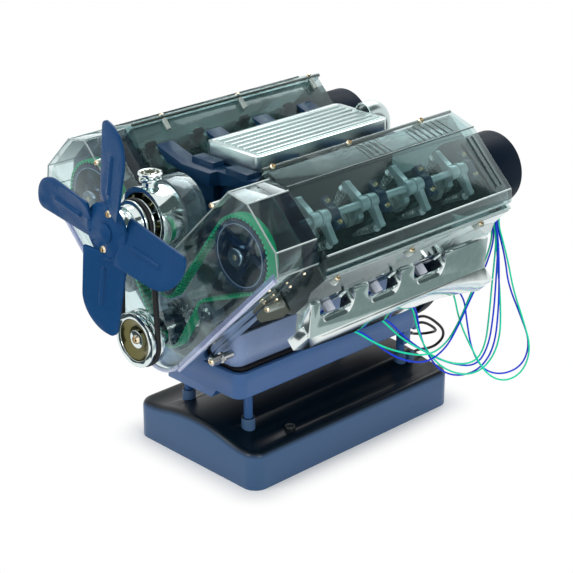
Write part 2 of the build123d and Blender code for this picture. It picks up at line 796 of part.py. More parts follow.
idler_pin_radius = 2.5
idler_flange = 1.2
idler_groove = 3.0
idler_places = {"right": (idler_u_x, idler_z), "left": (-idler_u_x, idler_z), "middle": (0, middle_idler_z)}


def idler(x, z):
    """A smooth belt wheel with a dished face."""
    wheel = bar(idler_radius, belt_front_y - sprocket_clear, belt_rear_y + sprocket_clear)
    wheel -= bar(idler_radius - idler_groove, belt_front_y - overrun, belt_rear_y - idler_groove)
    wheel += bar(idler_pin_radius + idler_flange, belt_front_y, belt_rear_y)
    wheel -= bar(idler_pin_radius + running_gap, belt_front_y - overrun, belt_rear_y + overrun)
    return Pos(x, 0, z) * wheel


for name, (x, z) in idler_places.items():
    write(f"belt_idler_{name}", idler(x, z))


# Belts: each follows its wheels at a small clearance, on straight runs and arcs
def belt_face(wheels):
    """A closed band round wheels given as X, Z, radius and side, in counter-clockwise order.

    The side is 1 where the band turns with the loop and -1 where the wheel presses from outside.
    """
    count = len(wheels)
    leave = []
    arrive = []
    for number, (x0, z0, r0, s0) in enumerate(wheels):
        x1, z1, r1, s1 = wheels[(number + 1) % count]
        gap = Vector(x1 - x0, z1 - z0)
        along_gap = gap.normalized()
        lift = (s0 * r0 - s1 * r1) / gap.length
        side_way = Vector(along_gap.Y, -along_gap.X)
        normal = side_way * sqrt(1 - lift * lift) + along_gap * lift
        leave.append(Vector(x0, z0) + normal * (s0 * r0))
        arrive.append(Vector(x1, z1) + normal * (s1 * r1))
    edges = []
    for number, (x, z, radius, way) in enumerate(wheels):
        begin = arrive[number - 1]
        end = leave[number]
        centre = Vector(x, z)
        middle = (begin - centre) + (end - centre)
        if middle.length < radius / 100:
            middle = Vector(end.Y - begin.Y, begin.X - end.X)
        outward = middle.normalized() * radius
        turn = (begin - centre).X * (end - centre).Y - (begin - centre).Y * (end - centre).X
        if turn * way < 0:
            outward = -outward
        edges.append(ThreePointArc(begin, centre + outward, end))
        edges.append(Line(end, arrive[number]))
    return make_face(edges)


cam_right, cam_left = cam_points()
loop = [(0, crank_height, crank_tip_radius, 1), (idler_u_x, idler_z, idler_radius, -1),
        (cam_right[0], cam_right[1], cam_tip_radius, 1), (0, middle_idler_z, idler_radius, -1),
        (cam_left[0], cam_left[1], cam_tip_radius, 1), (-idler_u_x, idler_z, idler_radius, -1)]


def belt_wheels(level):
    """The wheels with their radii grown to a level of the band, measured from the tooth tips."""
    grown = []
    for x, z, radius, way in loop:
        if way > 0:
            grown.append((x, z, radius + loose_gap + level, way))
        else:
            grown.append((x, z, radius + loose_gap + belt_tooth + belt_thickness - level, way))
    return grown


band = belt_face(belt_wheels(belt_tooth + belt_thickness)) - belt_face(belt_wheels(belt_tooth))
write("timing_belt", along(band, belt_front_y, belt_rear_y))

# Timing cover: the clear cover in front of the belt, with idler pins moulded inside
cover_case = along(case_outline(0), case_cover_front_y, case_front_y)
cover_case -= along(case_outline(case_wall), case_cover_front_y + case_cover_wall, case_front_y + overrun)
crank_hole_radius = 12.0
cover_case -= bar(crank_hole_radius, case_cover_front_y - overrun, case_front_y, 0, crank_height)
idler_pin_front_y = case_cover_front_y + case_cover_wall / 2
for x, z in idler_places.values():
    cover_case += bar(idler_pin_radius, idler_pin_front_y, belt_rear_y + sprocket_clear, x, z)
write("timing_cover", cover_case)

# Crank pulley: a chrome wheel with a belt groove and a dished, pierced face
pulley_front_y = -169.0
pulley_length = 12.0
pulley_radius = 21.5
pulley_rim = 5.0
pulley_web = 2.5
fan_belt_width = 3.4
fan_belt_thickness = 3.2
groove_clear = 0.5
groove_depth = 3.0
pulley_hub_radius = 10.0
pulley_hole_radius = 3.6
pulley_hole_reach = 11.5
pulley_holes = 4
fan_belt_y = pulley_front_y + pulley_length / 2
groove_half = fan_belt_width / 2 + groove_clear


def groove(radius, y):
    """The belt groove of a wheel of the radius."""
    cut = bar(radius + overrun, y - groove_half, y + groove_half)
    return cut - bar(radius - groove_depth, y - groove_half - overrun, y + groove_half + overrun)


web_y = fan_belt_y - pulley_web / 2
pulley_rear_y = pulley_front_y + pulley_length
pulley = bar(pulley_radius, pulley_front_y, pulley_rear_y)
pulley -= bar(pulley_radius - pulley_rim, pulley_front_y - overrun, web_y)
pulley -= bar(pulley_radius - pulley_rim, web_y + pulley_web, pulley_rear_y + overrun)
for number in range(pulley_holes):
    place = Rot(0, 360 * number / pulley_holes, 0) * Pos(pulley_hole_reach, 0, 0)
    pulley -= place * bar(pulley_hole_radius, web_y - overrun, web_y + pulley_web + overrun)
pulley += bar(pulley_hub_radius / 2 + running_gap + overrun, snout_front_y - overrun / 2, web_y + pulley_web)
pulley += bar(pulley_hub_radius, web_y + pulley_web, seal_front_y)
pulley -= groove(pulley_radius, fan_belt_y)
pulley -= bar(snout_radius, snout_front_y, seal_front_y + overrun)
write("crank_pulley", Pos(0, 0, crank_height) * pulley)

# Flywheel at the rear of the crankshaft, inside the bell housing
flywheel_front_y = 104.0
flywheel_thickness = 8.0
flywheel_radius = 44.0
flywheel_rim = 7.0
flywheel_dish = 4.0
flywheel_hub = 12.0
flywheel = bar(flywheel_radius, flywheel_front_y, flywheel_front_y + flywheel_thickness)
dish = bar(flywheel_radius - flywheel_rim, flywheel_front_y + flywheel_dish,
           flywheel_front_y + flywheel_thickness + overrun)
dish -= bar(flywheel_hub, flywheel_front_y, flywheel_front_y + flywheel_thickness + 2 * overrun)
flywheel -= dish
flywheel -= bar(main_radius, flywheel_front_y - overrun, flywheel_front_y + flywheel_thickness + overrun)
write("flywheel", Pos(0, 0, crank_height) * flywheel)

# Bell housing: the round rear housing, with the drive motor on its back wall
bell_radius = 63.0
bell_rear_radius = 50.0
bell_front_y = block_rear_y
bell_straight_y = 108.0
bell_rear_y = 138.0
bell_wall = 3.0
motor_radius = 14.0
motor_front_y = crank_rear_y + loose_gap
motor_shaft_radius = 1.6


def bell_solid(inset, front, rear):
    """The housing's form, drawn inwards by the inset."""
    profile = face_of([(0, front), (bell_radius - inset, front), (bell_radius - inset, bell_straight_y),
                       (bell_rear_radius - inset, rear), (0, rear)])
    return revolve(profile, Axis.Y)


bell = bell_solid(0, bell_front_y, bell_rear_y)
bell -= bell_solid(bell_wall, bell_front_y + bell_wall, bell_rear_y - bell_wall)
bell -= bar(main_radius + loose_gap, bell_front_y - overrun, bell_front_y + bell_wall + overrun)
write("bell_housing", Pos(0, 0, crank_height) * bell)

motor = bar(motor_radius, motor_front_y + overrun, bell_rear_y - bell_wall)
motor += bar(motor_radius / 3, motor_front_y, motor_front_y + 2 * overrun)
write("drive_motor", Pos(0, 0, crank_height) * motor)

# Rear caps over the ends of the two camshafts
rear_cap_radius = 30.0
rear_cap_rear_y = 142.0
rear_cap_edge = 3.0
gland_radius = 5.0
gland_x = 89.0
gland_y = 136.5
gland_rise = 48.0
gland_z = crank_height + gland_rise
rear_caps = []
for x, z in cam_points():
    cap = bar(rear_cap_radius, head_rear_y, rear_cap_rear_y)
    cap = chamfer(cap.faces().sort_by(Axis.Y)[-1].edges(), rear_cap_edge)
    rear_caps.append(Pos(x, 0, z) * cap)
rear_caps[0] += post(gland_radius, gland_z, gland_z + 2 * gland_radius, gland_x, gland_y)
write("rear_caps", *rear_caps)

# Pump: a clear drum on the valley of the timing cover, behind a chrome ring
drum_front_y = belt_front_y
drum_rear_y = -118.0
drum_radius = 27.0
drum_wall = 2.5
drum_foot_half = 10.0
ring_front_y = -157.5
ring_radius = 25.0
ring_rim = 4.0
ring_back = 3.0
pump_shaft_radius = 4.0
neck_y = -148.6
neck_radius = 5.8
neck_rise = 28.5
neck_top = fan_axis_height + neck_rise
filler_cap_radius = 8.4
filler_cap_height = 6.5
filler_cap_lip = 2.4
filler_cap_knob = 5.0

drum = bar(drum_radius, drum_front_y, drum_rear_y, 0, fan_axis_height)
drum += slab((-drum_foot_half, drum_foot_half), (drum_front_y, case_front_y),
             (case_valley_z, fan_axis_height - drum_radius / 2))
drum -= bar(drum_radius - drum_wall, drum_front_y + drum_wall, drum_rear_y - drum_wall, 0, fan_axis_height)
drum -= bar(pump_shaft_radius + running_gap, drum_front_y - overrun, drum_front_y + drum_wall + overrun,
            0, fan_axis_height)
write("pump_drum", drum)

ring = bar(ring_radius, ring_front_y, drum_front_y, 0, fan_axis_height)
ring -= bar(ring_radius - ring_rim, ring_front_y - overrun, drum_front_y - ring_back, 0, fan_axis_height)
ring += post(neck_radius, fan_axis_height + ring_radius - ring_rim / 2, neck_top, 0, neck_y)
ring -= bar(pump_shaft_radius + loose_gap, drum_front_y - 2 * ring_back, drum_front_y + overrun,
            0, fan_axis_height)
write("pump_ring", ring)

filler_cap = post(filler_cap_radius, neck_top, neck_top + filler_cap_lip, 0, neck_y)
filler_cap += post(filler_cap_knob, neck_top, neck_top + filler_cap_height, 0, neck_y)
write("filler_cap", filler_cap)

# Fan pulley and fan on the pump's shaft
fan_pulley_radius = 17.5
fan_pulley_front_y = -185.0
fan_pulley_rear_y = -159.0
fan_shaft_rear_y = drum_front_y + drum_wall + overrun
fan_hub_radius = 22.0
fan_hub_thickness = 3.0
fan_front_y = -191.0
fan_spacer_radius = 8.0
fan_tip_radius = 82.0
fan_blades = 4
blade_first_angle = 10.0
blade_thickness = 2.2
blade_root = 17.0
blade_half = 17.0
blade_tight_corner = 6.0
blade_wide_corner = 26.0
blade_root_pitch = 20.0
blade_tip_pitch = 9.0
rib_start = 28.0
rib_end = 61.0
rib_radius = 2.8
rib_taper = 2.0
hub_boss_radius = 7.0
hub_boss_rise = 1.5

fan_pulley = bar(fan_pulley_radius, fan_belt_y - 2 * groove_half, fan_pulley_rear_y)
fan_pulley -= groove(fan_pulley_radius, fan_belt_y)
second_groove_y = (fan_pulley_front_y + fan_belt_y - 2 * groove_half) / 2
fan_pulley += bar(fan_pulley_radius - groove_depth, fan_pulley_front_y, fan_belt_y)
fan_pulley -= groove(fan_pulley_radius - groove_depth, second_groove_y)
fan_pulley += bar(pump_shaft_radius, fan_front_y + fan_hub_thickness, fan_shaft_rear_y)
fan_hub_rear_y = fan_front_y + fan_hub_thickness
fan_pulley += bar(fan_spacer_radius, fan_hub_rear_y, fan_pulley_front_y)
write("fan_pulley", Pos(0, 0, fan_axis_height) * fan_pulley)

blade_middle_y = (fan_front_y + fan_hub_rear_y) / 2


def fan_blade():
    """A twisted paddle standing along Z, with one tight and one wide corner and a raised rib."""
    sections = []
    for reach, pitch in ((blade_root, blade_root_pitch), (fan_tip_radius, blade_tip_pitch)):
        section = Rectangle(2 * blade_half / cos(radians(blade_root_pitch)) + overrun, blade_thickness)
        sections.append(Pos(0, 0, reach) * (Rot(0, 0, -pitch) * section))
    strip = loft(sections, ruled=True)
    paddle = face_of([(-blade_half, blade_root), (blade_half, blade_root), (blade_half, fan_tip_radius),
                      (-blade_half, fan_tip_radius)])
    paddle = fillet(paddle.vertices().group_by(Axis.Y)[-1].sort_by(Axis.X)[-1], blade_wide_corner)
    paddle = fillet(paddle.vertices().group_by(Axis.Y)[-1].sort_by(Axis.X)[0], blade_tight_corner)
    blade = strip & along(paddle, -blade_half, blade_half)
    middle_pitch = (blade_root_pitch + blade_tip_pitch) / 2
    rib = post(rib_radius, rib_start, rib_end)
    rib = chamfer(rib.edges().filter_by(GeomType.CIRCLE), rib_taper)
    return blade + Rot(0, 0, -middle_pitch) * rib


blade = fan_blade()
fan = bar(fan_hub_radius, fan_front_y, fan_hub_rear_y)
fan += bar(hub_boss_radius, fan_front_y - hub_boss_rise, fan_hub_rear_y)
for number in range(fan_blades):
    fan += Rot(0, blade_first_angle + 360 * number / fan_blades, 0) * (Pos(0, blade_middle_y, 0) * blade)
write("fan", Pos(0, 0, fan_axis_height) * fan)

# Fan belt round the crank pulley and the fan pulley
belt_run = groove_depth - loose_gap - groove_clear / 2
inner_loop = [(0, crank_height, pulley_radius - belt_run, 1),
              (0, fan_axis_height, fan_pulley_radius - belt_run, 1)]
outer_loop = [(x, z, radius + fan_belt_thickness, way) for x, z, radius, way in inner_loop]
fan_band = belt_face(outer_loop) - belt_face(inner_loop)
write("fan_belt", along(fan_band, fan_belt_y - fan_belt_width / 2, fan_belt_y + fan_belt_width / 2))

# Intake: a dark manifold in the valley, a clear plenum and its ribbed chrome lid
manifold_front_y = -82.0
manifold_rear_y = 76.0
lane_in = 7.0
lane_out = 31.0
lane_rise = 4.0
plenum_half = 27.0
plenum_front_y = -68.0
plenum_rear_y = 71.0
plenum_rise = 112.0
plenum_bottom = crank_height + plenum_rise
lid_half = 29.0
lid_front_y = -70.0
lid_rear_y = 73.0
lid_gap = 1.5
lid_height = 12.5
lid_bottom = plenum_bottom + lid_gap
lid_top = lid_bottom + lid_height
lid_wall = 2.0
lid_corner = 6.0
lid_rib_count = 7
lid_rib_height = 1.2
lid_rib_width = 3.0
lid_rib_inset = 4.0
port_half = 8.0
port_top_rise = 35.0
port_bottom_rise = 19.0
port_top_w = deck_height + port_top_rise
port_low_w = deck_height + port_bottom_rise

manifold_outline = [(valley_half_width, valley_z), (lane_out, valley_z + lane_out - valley_half_width),
                    (lane_out, plenum_bottom), (-lane_out, plenum_bottom),
                    (-lane_out, valley_z + lane_out - valley_half_width), (-valley_half_width, valley_z)]
intake_manifold = along(face_of(manifold_outline), manifold_front_y + lane_in, manifold_rear_y)
for side in sides:
    lane = slab((lane_in, lane_out), (manifold_front_y, lid_front_y - loose_gap),
                (valley_z + lane_out, plenum_bottom + lane_rise))
    intake_manifold += lane if side == right else mirror(lane, about=Plane.YZ)
    for number in cylinders:
        y = cylinder_y(number, side)
        top = world(-head_in, port_top_w)
        low = world(-head_in, port_low_w)
        runner = face_of([(0, plenum_bottom), (lane_out, plenum_bottom), top, low, (0, low[1] - port_half)])
        runner = along(runner, y - port_half, y + port_half)
        intake_manifold += runner if side == right else mirror(runner, about=Plane.YZ)
write("intake_manifold", intake_manifold)

plenum = slab((-plenum_half, plenum_half), (plenum_front_y, plenum_rear_y), (plenum_bottom, lid_top - lid_wall))
plenum -= slab((lid_wall - plenum_half, plenum_half - lid_wall),
               (plenum_front_y + lid_wall, plenum_rear_y - lid_wall),
               (plenum_bottom + lid_wall, lid_top))
write("plenum", plenum)

lid_middle_y = (lid_front_y + lid_rear_y) / 2
lid = Pos(0, lid_middle_y, lid_bottom) * extrude(
    RectangleRounded(2 * lid_half, lid_rear_y - lid_front_y, lid_corner), lid_top - lid_bottom)
lid -= slab((-plenum_half, plenum_half), (plenum_front_y, plenum_rear_y),
            (lid_bottom - overrun, lid_top - lid_wall))
rib_pitch = 2 * (lid_half - lid_rib_inset) / lid_rib_count
for number in range(lid_rib_count):
    x = (number - (lid_rib_count - 1) / 2) * rib_pitch
    rib = slab((x - lid_rib_width / 2, x + lid_rib_width / 2),
               (lid_front_y + lid_corner, lid_rear_y - lid_corner), (lid_top, lid_top + lid_rib_height))
    lid += rib
write("plenum_lid", lid)

elbow_radius = 9.0
elbow_wall = 1.6
elbow_drop_from_lid = 3.0
elbow_z = lid_top - elbow_drop_from_lid
elbow_bend = 12.0
elbow_start_y = lid_rear_y
elbow_run = 8.0
elbow_drop = 5.0
elbow_bend_y = elbow_start_y + elbow_run
elbow_section = Circle(elbow_radius) - Circle(elbow_radius - elbow_wall)
elbow_start = Plane((0, elbow_start_y, elbow_z), x_dir=(1, 0, 0), z_dir=(0, 1, 0)) * elbow_section
elbow_middle = Plane((0, elbow_bend_y, elbow_z), x_dir=(1, 0, 0), z_dir=(0, 1, 0)) * elbow_section
elbow_end = Plane((0, elbow_bend_y + elbow_bend, elbow_z - elbow_bend), z_dir=(0, 0, -1)) * elbow_section
elbow = extrude(elbow_start, amount=elbow_run, dir=(0, 1, 0))
elbow += revolve(elbow_middle, Axis((0, elbow_bend_y, elbow_z - elbow_bend), (-1, 0, 0)), 2 * bank_angle)
elbow += extrude(elbow_end, amount=elbow_drop, dir=(0, 0, -1))
write("intake_elbow", elbow)

# Exhaust manifolds: chrome logs under a sloping web, which rises to the head between its windows
log_in = 60.0
log_thickness = 12.0
log_rise = 4.0
log_front_depth = 21.0
log_middle_depth = 33.0
log_rear_depth = 23.0
log_front_y = -104.0
log_rear_y = 92.0
log_front_thickness = 9.0
log_taper = 14.0
log_flare_start_y = 25.0
log_flare = 9.6
log_flare_middle_share = 0.23
log_edge = 3.5
outlet_depth = 8.0
outlet_radius = 3.4
web_top_drop = 1.0
web_thickness_top = 3.0
web_rim = 2.0
web_drop = 11.0
web_front_inset = 1.0
window_half = 18.0
window_corner = 9.0
window_rise = 6.5
window_count = 3
pocket_depth = 8.6
pocket_rise = 14.5

log_top = deck_height + log_rise
log_out = log_in + log_thickness
web_top = port_high - web_top_drop


def exhaust_log():
    """The log, bowed downwards in its middle and flared outwards at its rear end."""
    middle_y = (log_front_y + log_rear_y) / 2
    flare_y = (log_flare_start_y + log_rear_y) / 2
    front_top = (0, log_front_y, log_top)
    rear_top = (0, log_rear_y, log_top)
    front_low = (0, log_front_y, log_top - log_front_depth)
    rear_low = (0, log_rear_y, log_top - log_rear_depth)
    side = make_face([Line(front_top, rear_top), Line(rear_top, rear_low),
                      ThreePointArc(rear_low, (0, middle_y, log_top - log_middle_depth), front_low),
                      Line(front_low, front_top)])
    front_out = (log_in + log_front_thickness, log_front_y)
    taper_out = (log_out, log_front_y + log_taper)
    flare_out = (log_out, log_flare_start_y)
    rear_out = (log_out + log_flare, log_rear_y)
    plan = make_face([Line((log_in, log_front_y), front_out), Line(front_out, taper_out),
                      Line(taper_out, flare_out),
                      ThreePointArc(flare_out, (log_out + log_flare_middle_share * log_flare, flare_y), rear_out),
                      Line(rear_out, (log_in, log_rear_y)), Line((log_in, log_rear_y), (log_in, log_front_y))])
    log = extrude(side, amount=2 * log_out, dir=(1, 0, 0)) & extrude(plan, amount=2 * log_top, dir=(0, 0, 1))
    outer_low = [edge for edge in log.edges() if edge.center().X > log_out - log_edge
                 and edge.center().Z < log_top - log_edge and edge.length > log_taper / 2
                 and abs(edge.center().Y) < log_rear_y - log_edge]
    log = fillet(outer_low, log_edge)
    return log - bar(outlet_radius, log_rear_y - outlet_depth, log_rear_y + overrun,
                     log_out, log_top - log_rear_depth / 2)


def exhaust_manifold(side):
    """One manifold, drawn with Z along the bank."""
    web_outline = face_of([(port_out, web_top), (port_out + web_thickness_top, web_top),
                           (log_out - web_rim, log_top), (log_in + web_rim, log_top - web_rim),
                           (log_in, log_top - web_drop), (port_out, port_low)])
    web = along(web_outline, log_front_y + web_front_inset, log_rear_y - web_front_inset)
    for number in cylinders:
        y = cylinder_y(number, side)
        web -= slab((port_out - overrun, port_out + pocket_depth), (y - window_half, y + window_half),
                    (log_top - log_middle_depth, deck_height + pocket_rise))
        if number < window_count:
            window_height = 2 * (web_top - log_top)
            window = Plane((port_out - overrun, y, log_top + window_rise + window_height / 2),
                           x_dir=(0, 1, 0), z_dir=(1, 0, 0))
            window *= RectangleRounded(2 * window_half, window_height, window_corner)
            web -= extrude(window, amount=log_out - port_out, dir=(1, 0, 0))
    return exhaust_log() + web


for side in sides:
    write(f"exhaust_manifold_{names[side]}", in_bank(exhaust_manifold(side), side))

# Spark plugs: small lamps screwed into the heads between the exhaust ports
plug_body_radius = 3.8
plug_body_length = 8.0
plug_sides = 6
terminal_drop = 4.2
terminal_half = 3.0
plugs = []
for side in sides:
    for number in cylinders:
        y = cylinder_y(number, side)
        plug = bar_along_u(plug_nose_radius - running_gap, plug_inner_u, port_out, y, plug_height)
        hexagon = Plane((port_out, y, plug_height), x_dir=(0, 1, 0), z_dir=(1, 0, 0))
        hexagon *= RegularPolygon(plug_body_radius, plug_sides)
        plug += extrude(hexagon, amount=plug_body_length, dir=(1, 0, 0))
        plug += slab((port_out + loose_gap, port_out + loose_gap + 2 * terminal_half),
                     (y - terminal_half, y + terminal_half), (plug_height - terminal_drop, plug_height))
        plugs.append(in_bank(plug, side))
write("spark_plugs", *plugs)

# Leads: thin wires from the right plugs to the right rear cap, and the black lead of the motor
lead_radius = 0.75
power_radius = 1.2
lead_sides = 6
bend_share = 0.45
aqua_routes = [
    [(107.6, -74.6, 155.2), (97.3, -74.6, 144.9), (87.5, -63, 136), (80.5, -50.5, 127.5), (88, -27, 117),
     (96, -7, 100), (102, 15, 88), (104, 43, 77), (101, 68, 78), (97, 88, 90), (93, 105, 107),
     (90, 124, 126), (86.5, 139, 147), (86, 134.5, 160), (86, 134.5, 172)],
    [(107.6, -24.6, 155.2), (97.3, -24.6, 144.9), (87.5, -15.5, 136), (80.5, -6, 127.5), (87, 8, 113),
     (93, 24, 94), (99, 47, 77), (103, 74, 59), (103.5, 103, 51), (99.5, 120, 60), (97, 126, 82),
     (96, 129, 111), (90.5, 139, 147), (90, 134.5, 160), (90, 134.5, 172)],
    [(107.6, 25.4, 155.2), (97.3, 25.4, 144.9), (87.5, 29.5, 136), (80.5, 34.5, 127.5), (86, 43, 115),
     (91, 44, 95), (97, 52, 73), (103, 68, 55), (107, 93, 44), (108, 115, 47), (107, 130, 65),
     (101.5, 134.5, 97), (93, 139, 124), (86.5, 143.5, 147), (86, 138.5, 160), (86, 138.5, 172)],
    [(107.6, 75.4, 155.2), (97.3, 75.4, 144.9), (87.5, 80, 136), (80.5, 86.5, 127.5), (88, 91, 112),
     (94, 92, 88), (106, 99, 60), (113, 108, 41), (118, 126, 31), (121, 145, 35), (120, 155, 53),
     (113, 151, 78), (105, 146, 104), (99, 145, 127), (92.5, 143.5, 147), (92, 138.5, 160),
     (92, 138.5, 172)]]
blue_routes = [
    [(107.6, -77.6, 155.2), (97.3, -77.6, 144.9), (85.5, -65, 133.5), (78.5, -51, 124.5), (86, -15, 112),
     (93, -1, 95), (99, 16, 81), (104, 41, 71), (104, 64, 76), (101, 82, 89), (97, 102, 108),
     (93.5, 123, 127), (88.5, 139, 147), (88, 134.5, 160), (88, 134.5, 172)],
    [(107.6, -27.6, 155.2), (97.3, -27.6, 144.9), (85.5, -18, 133.5), (78.5, -9, 124.5), (85, 15, 112),
     (90, 32, 91), (96, 55, 71), (98.5, 81, 55), (101, 108, 45.5), (102, 121.5, 60), (101, 127, 89),
     (100, 129, 115), (92.5, 139, 147), (92, 134.5, 160), (92, 134.5, 172)],
    [(107.6, 22.4, 155.2), (97.3, 22.4, 144.9), (85.5, 27, 133.5), (78.5, 32.5, 124.5), (84, 50, 112),
     (88, 50, 90), (94, 56, 68), (99, 67, 53), (102.5, 86, 44), (104, 110, 43.5), (105, 125.5, 59),
     (103.5, 130, 93), (95.5, 138, 122), (88.5, 143.5, 147), (88, 138.5, 160), (88, 138.5, 172)],
    [(107.6, 72.4, 155.2), (97.3, 72.4, 144.9), (85.5, 77, 133.5), (78.5, 83, 124.5), (87, 104, 108),
     (92, 104, 84), (95.5, 107, 59), (102, 116, 39), (112, 130, 34), (118, 148, 39), (117, 157, 57),
     (110, 151, 81), (101, 144, 108), (96, 145, 128), (90.5, 143.5, 147), (90, 138.5, 160),
     (90, 138.5, 172)]]
power_routes = [
    [(43, 95.6, 74), (43, 103, 74), (43, 113, 69.5), (43.5, 123, 61.5), (43.5, 131.5, 53), (41, 135.5, 43.5),
     (36.5, 131.5, 35.5), (35, 121, 35), (38, 108, 40), (38, 97, 40)],
    [(43, 95.6, 68.5), (43, 102, 68.5), (43, 110, 65), (43, 118, 59.5), (40.5, 126, 53), (33.5, 132, 47),
     (24.5, 130, 43), (21, 120.5, 44.5), (25, 109, 50.5), (33, 104, 55), (36, 98.6, 57), (36, 91.6, 57)]]


def cord(route, radius):
    """A tube of straight runs joined by the largest arcs that the runs allow."""
    points = [Vector(*place) for place in route]
    runs = [after - before for before, after in zip(points, points[1:])]
    turns = [radians(before.get_angle(after)) for before, after in zip(runs, runs[1:])]
    shorter = [min(before.length, after.length) for before, after in zip(runs, runs[1:])]
    radii = [bend_share * length / tan(turn / 2) for length, turn in zip(shorter, turns)]
    path = FilletPolyline(*points, radius=radii)
    section = Plane(points[0], z_dir=runs[0]) * RegularPolygon(radius, lead_sides)
    tube = sweep(section, path=path)
    solidity = tube.volume / (section.area * path.length)
    print("cord length", round(path.length, 1), "least radius", round(min(radii), 1))
    print("share of its section's sweep", round(solidity, 4))
    return tube


write("spark_leads_aqua", *[cord(route, lead_radius) for route in aqua_routes])
write("spark_leads_blue", *[cord(route, lead_radius) for route in blue_routes])
write("power_lead", *[cord(route, power_radius) for route in power_routes])
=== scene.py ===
import json
import math
import bmesh
import bpy
from mathutils import Matrix, Vector

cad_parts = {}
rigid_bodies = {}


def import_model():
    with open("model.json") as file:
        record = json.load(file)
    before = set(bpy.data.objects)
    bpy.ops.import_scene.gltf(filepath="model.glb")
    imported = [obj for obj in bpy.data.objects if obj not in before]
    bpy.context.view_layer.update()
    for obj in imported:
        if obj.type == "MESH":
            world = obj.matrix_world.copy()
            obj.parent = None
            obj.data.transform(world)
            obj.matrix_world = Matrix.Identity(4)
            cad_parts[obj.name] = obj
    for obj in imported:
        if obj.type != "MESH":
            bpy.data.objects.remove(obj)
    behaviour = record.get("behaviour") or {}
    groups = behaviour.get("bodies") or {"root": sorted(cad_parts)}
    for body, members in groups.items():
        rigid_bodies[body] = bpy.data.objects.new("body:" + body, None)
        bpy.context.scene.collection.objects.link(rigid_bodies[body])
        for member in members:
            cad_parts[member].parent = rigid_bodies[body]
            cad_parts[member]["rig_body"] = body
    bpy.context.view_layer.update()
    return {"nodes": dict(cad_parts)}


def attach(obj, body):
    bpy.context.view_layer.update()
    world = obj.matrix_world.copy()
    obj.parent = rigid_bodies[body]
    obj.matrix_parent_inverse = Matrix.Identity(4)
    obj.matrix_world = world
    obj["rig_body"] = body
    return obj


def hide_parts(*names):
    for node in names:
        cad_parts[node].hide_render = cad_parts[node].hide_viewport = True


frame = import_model()

# Camera: it stands in front of the fan end and to the right, a little above the engine,
# and looks through a long lens at the photograph's angle.
camera_place = Vector((0.91548, -0.89537, 0.65962))
camera_aim = Vector((-0.01236, 0.0, 0.11389))
camera_lens = 108.42
camera_sensor = 36.0
clear_layers = 40


def place_object(name, content):
    """Puts a camera, lamp, curve or mesh in the scene."""
    placed = bpy.data.objects.new(name, content)
    bpy.context.scene.collection.objects.link(placed)
    return placed


studio_lens = bpy.data.cameras.new("studio_camera")
studio_lens.lens = camera_lens
studio_lens.sensor_width = camera_sensor
studio_camera = place_object("studio_camera", studio_lens)
studio_camera.location = camera_place
studio_camera.rotation_euler = (camera_aim - camera_place).to_track_quat("-Z", "Y").to_euler()
bpy.context.scene.camera = studio_camera
bpy.context.scene.view_settings.view_transform = "Standard"
bpy.context.scene.cycles.transparent_max_bounces = clear_layers

# Leads: two thin wires from each plug of the right bank, blue and pale green, hang in loose
# loops behind the engine and end in the right rear cap. They are soft plastic over copper.
millimetre = 0.001
lead_thickness = 1.5 * millimetre
aqua_routes = [
    [(107.6, -74.6, 155.2), (97.3, -74.6, 144.9), (87.5, -63, 136), (80.5, -50.5, 127.5), (88, -27, 117),
     (96, -7, 100), (102, 15, 88), (104, 43, 77), (101, 68, 78), (97, 88, 90), (93, 105, 107), (90, 124, 126),
     (86.5, 139, 147), (86, 134.5, 160), (86, 134.5, 172)],
    [(107.6, -24.6, 155.2), (97.3, -24.6, 144.9), (87.5, -15.5, 136), (80.5, -6, 127.5), (87, 8, 113),
     (93, 24, 94), (99, 47, 77), (103, 74, 59), (103.5, 103, 51), (99.5, 120, 60), (97, 126, 82),
     (96, 129, 111), (90.5, 139, 147), (90, 134.5, 160), (90, 134.5, 172)],
    [(107.6, 25.4, 155.2), (97.3, 25.4, 144.9), (87.5, 29.5, 136), (80.5, 34.5, 127.5), (86, 43, 115),
     (91, 44, 95), (97, 52, 73), (103, 68, 55), (107, 93, 44), (108, 115, 47), (107, 130, 65),
     (101.5, 134.5, 97), (93, 139, 124), (86.5, 143.5, 147), (86, 138.5, 160), (86, 138.5, 172)],
    [(107.6, 75.4, 155.2), (97.3, 75.4, 144.9), (87.5, 80, 136), (80.5, 86.5, 127.5), (88, 91, 112),
     (94, 92, 88), (106, 99, 60), (113, 108, 41), (118, 126, 31), (121, 145, 35), (120, 155, 53),
     (113, 151, 78), (105, 146, 104), (99, 145, 127), (92.5, 143.5, 147), (92, 138.5, 160), (92, 138.5, 172)]]
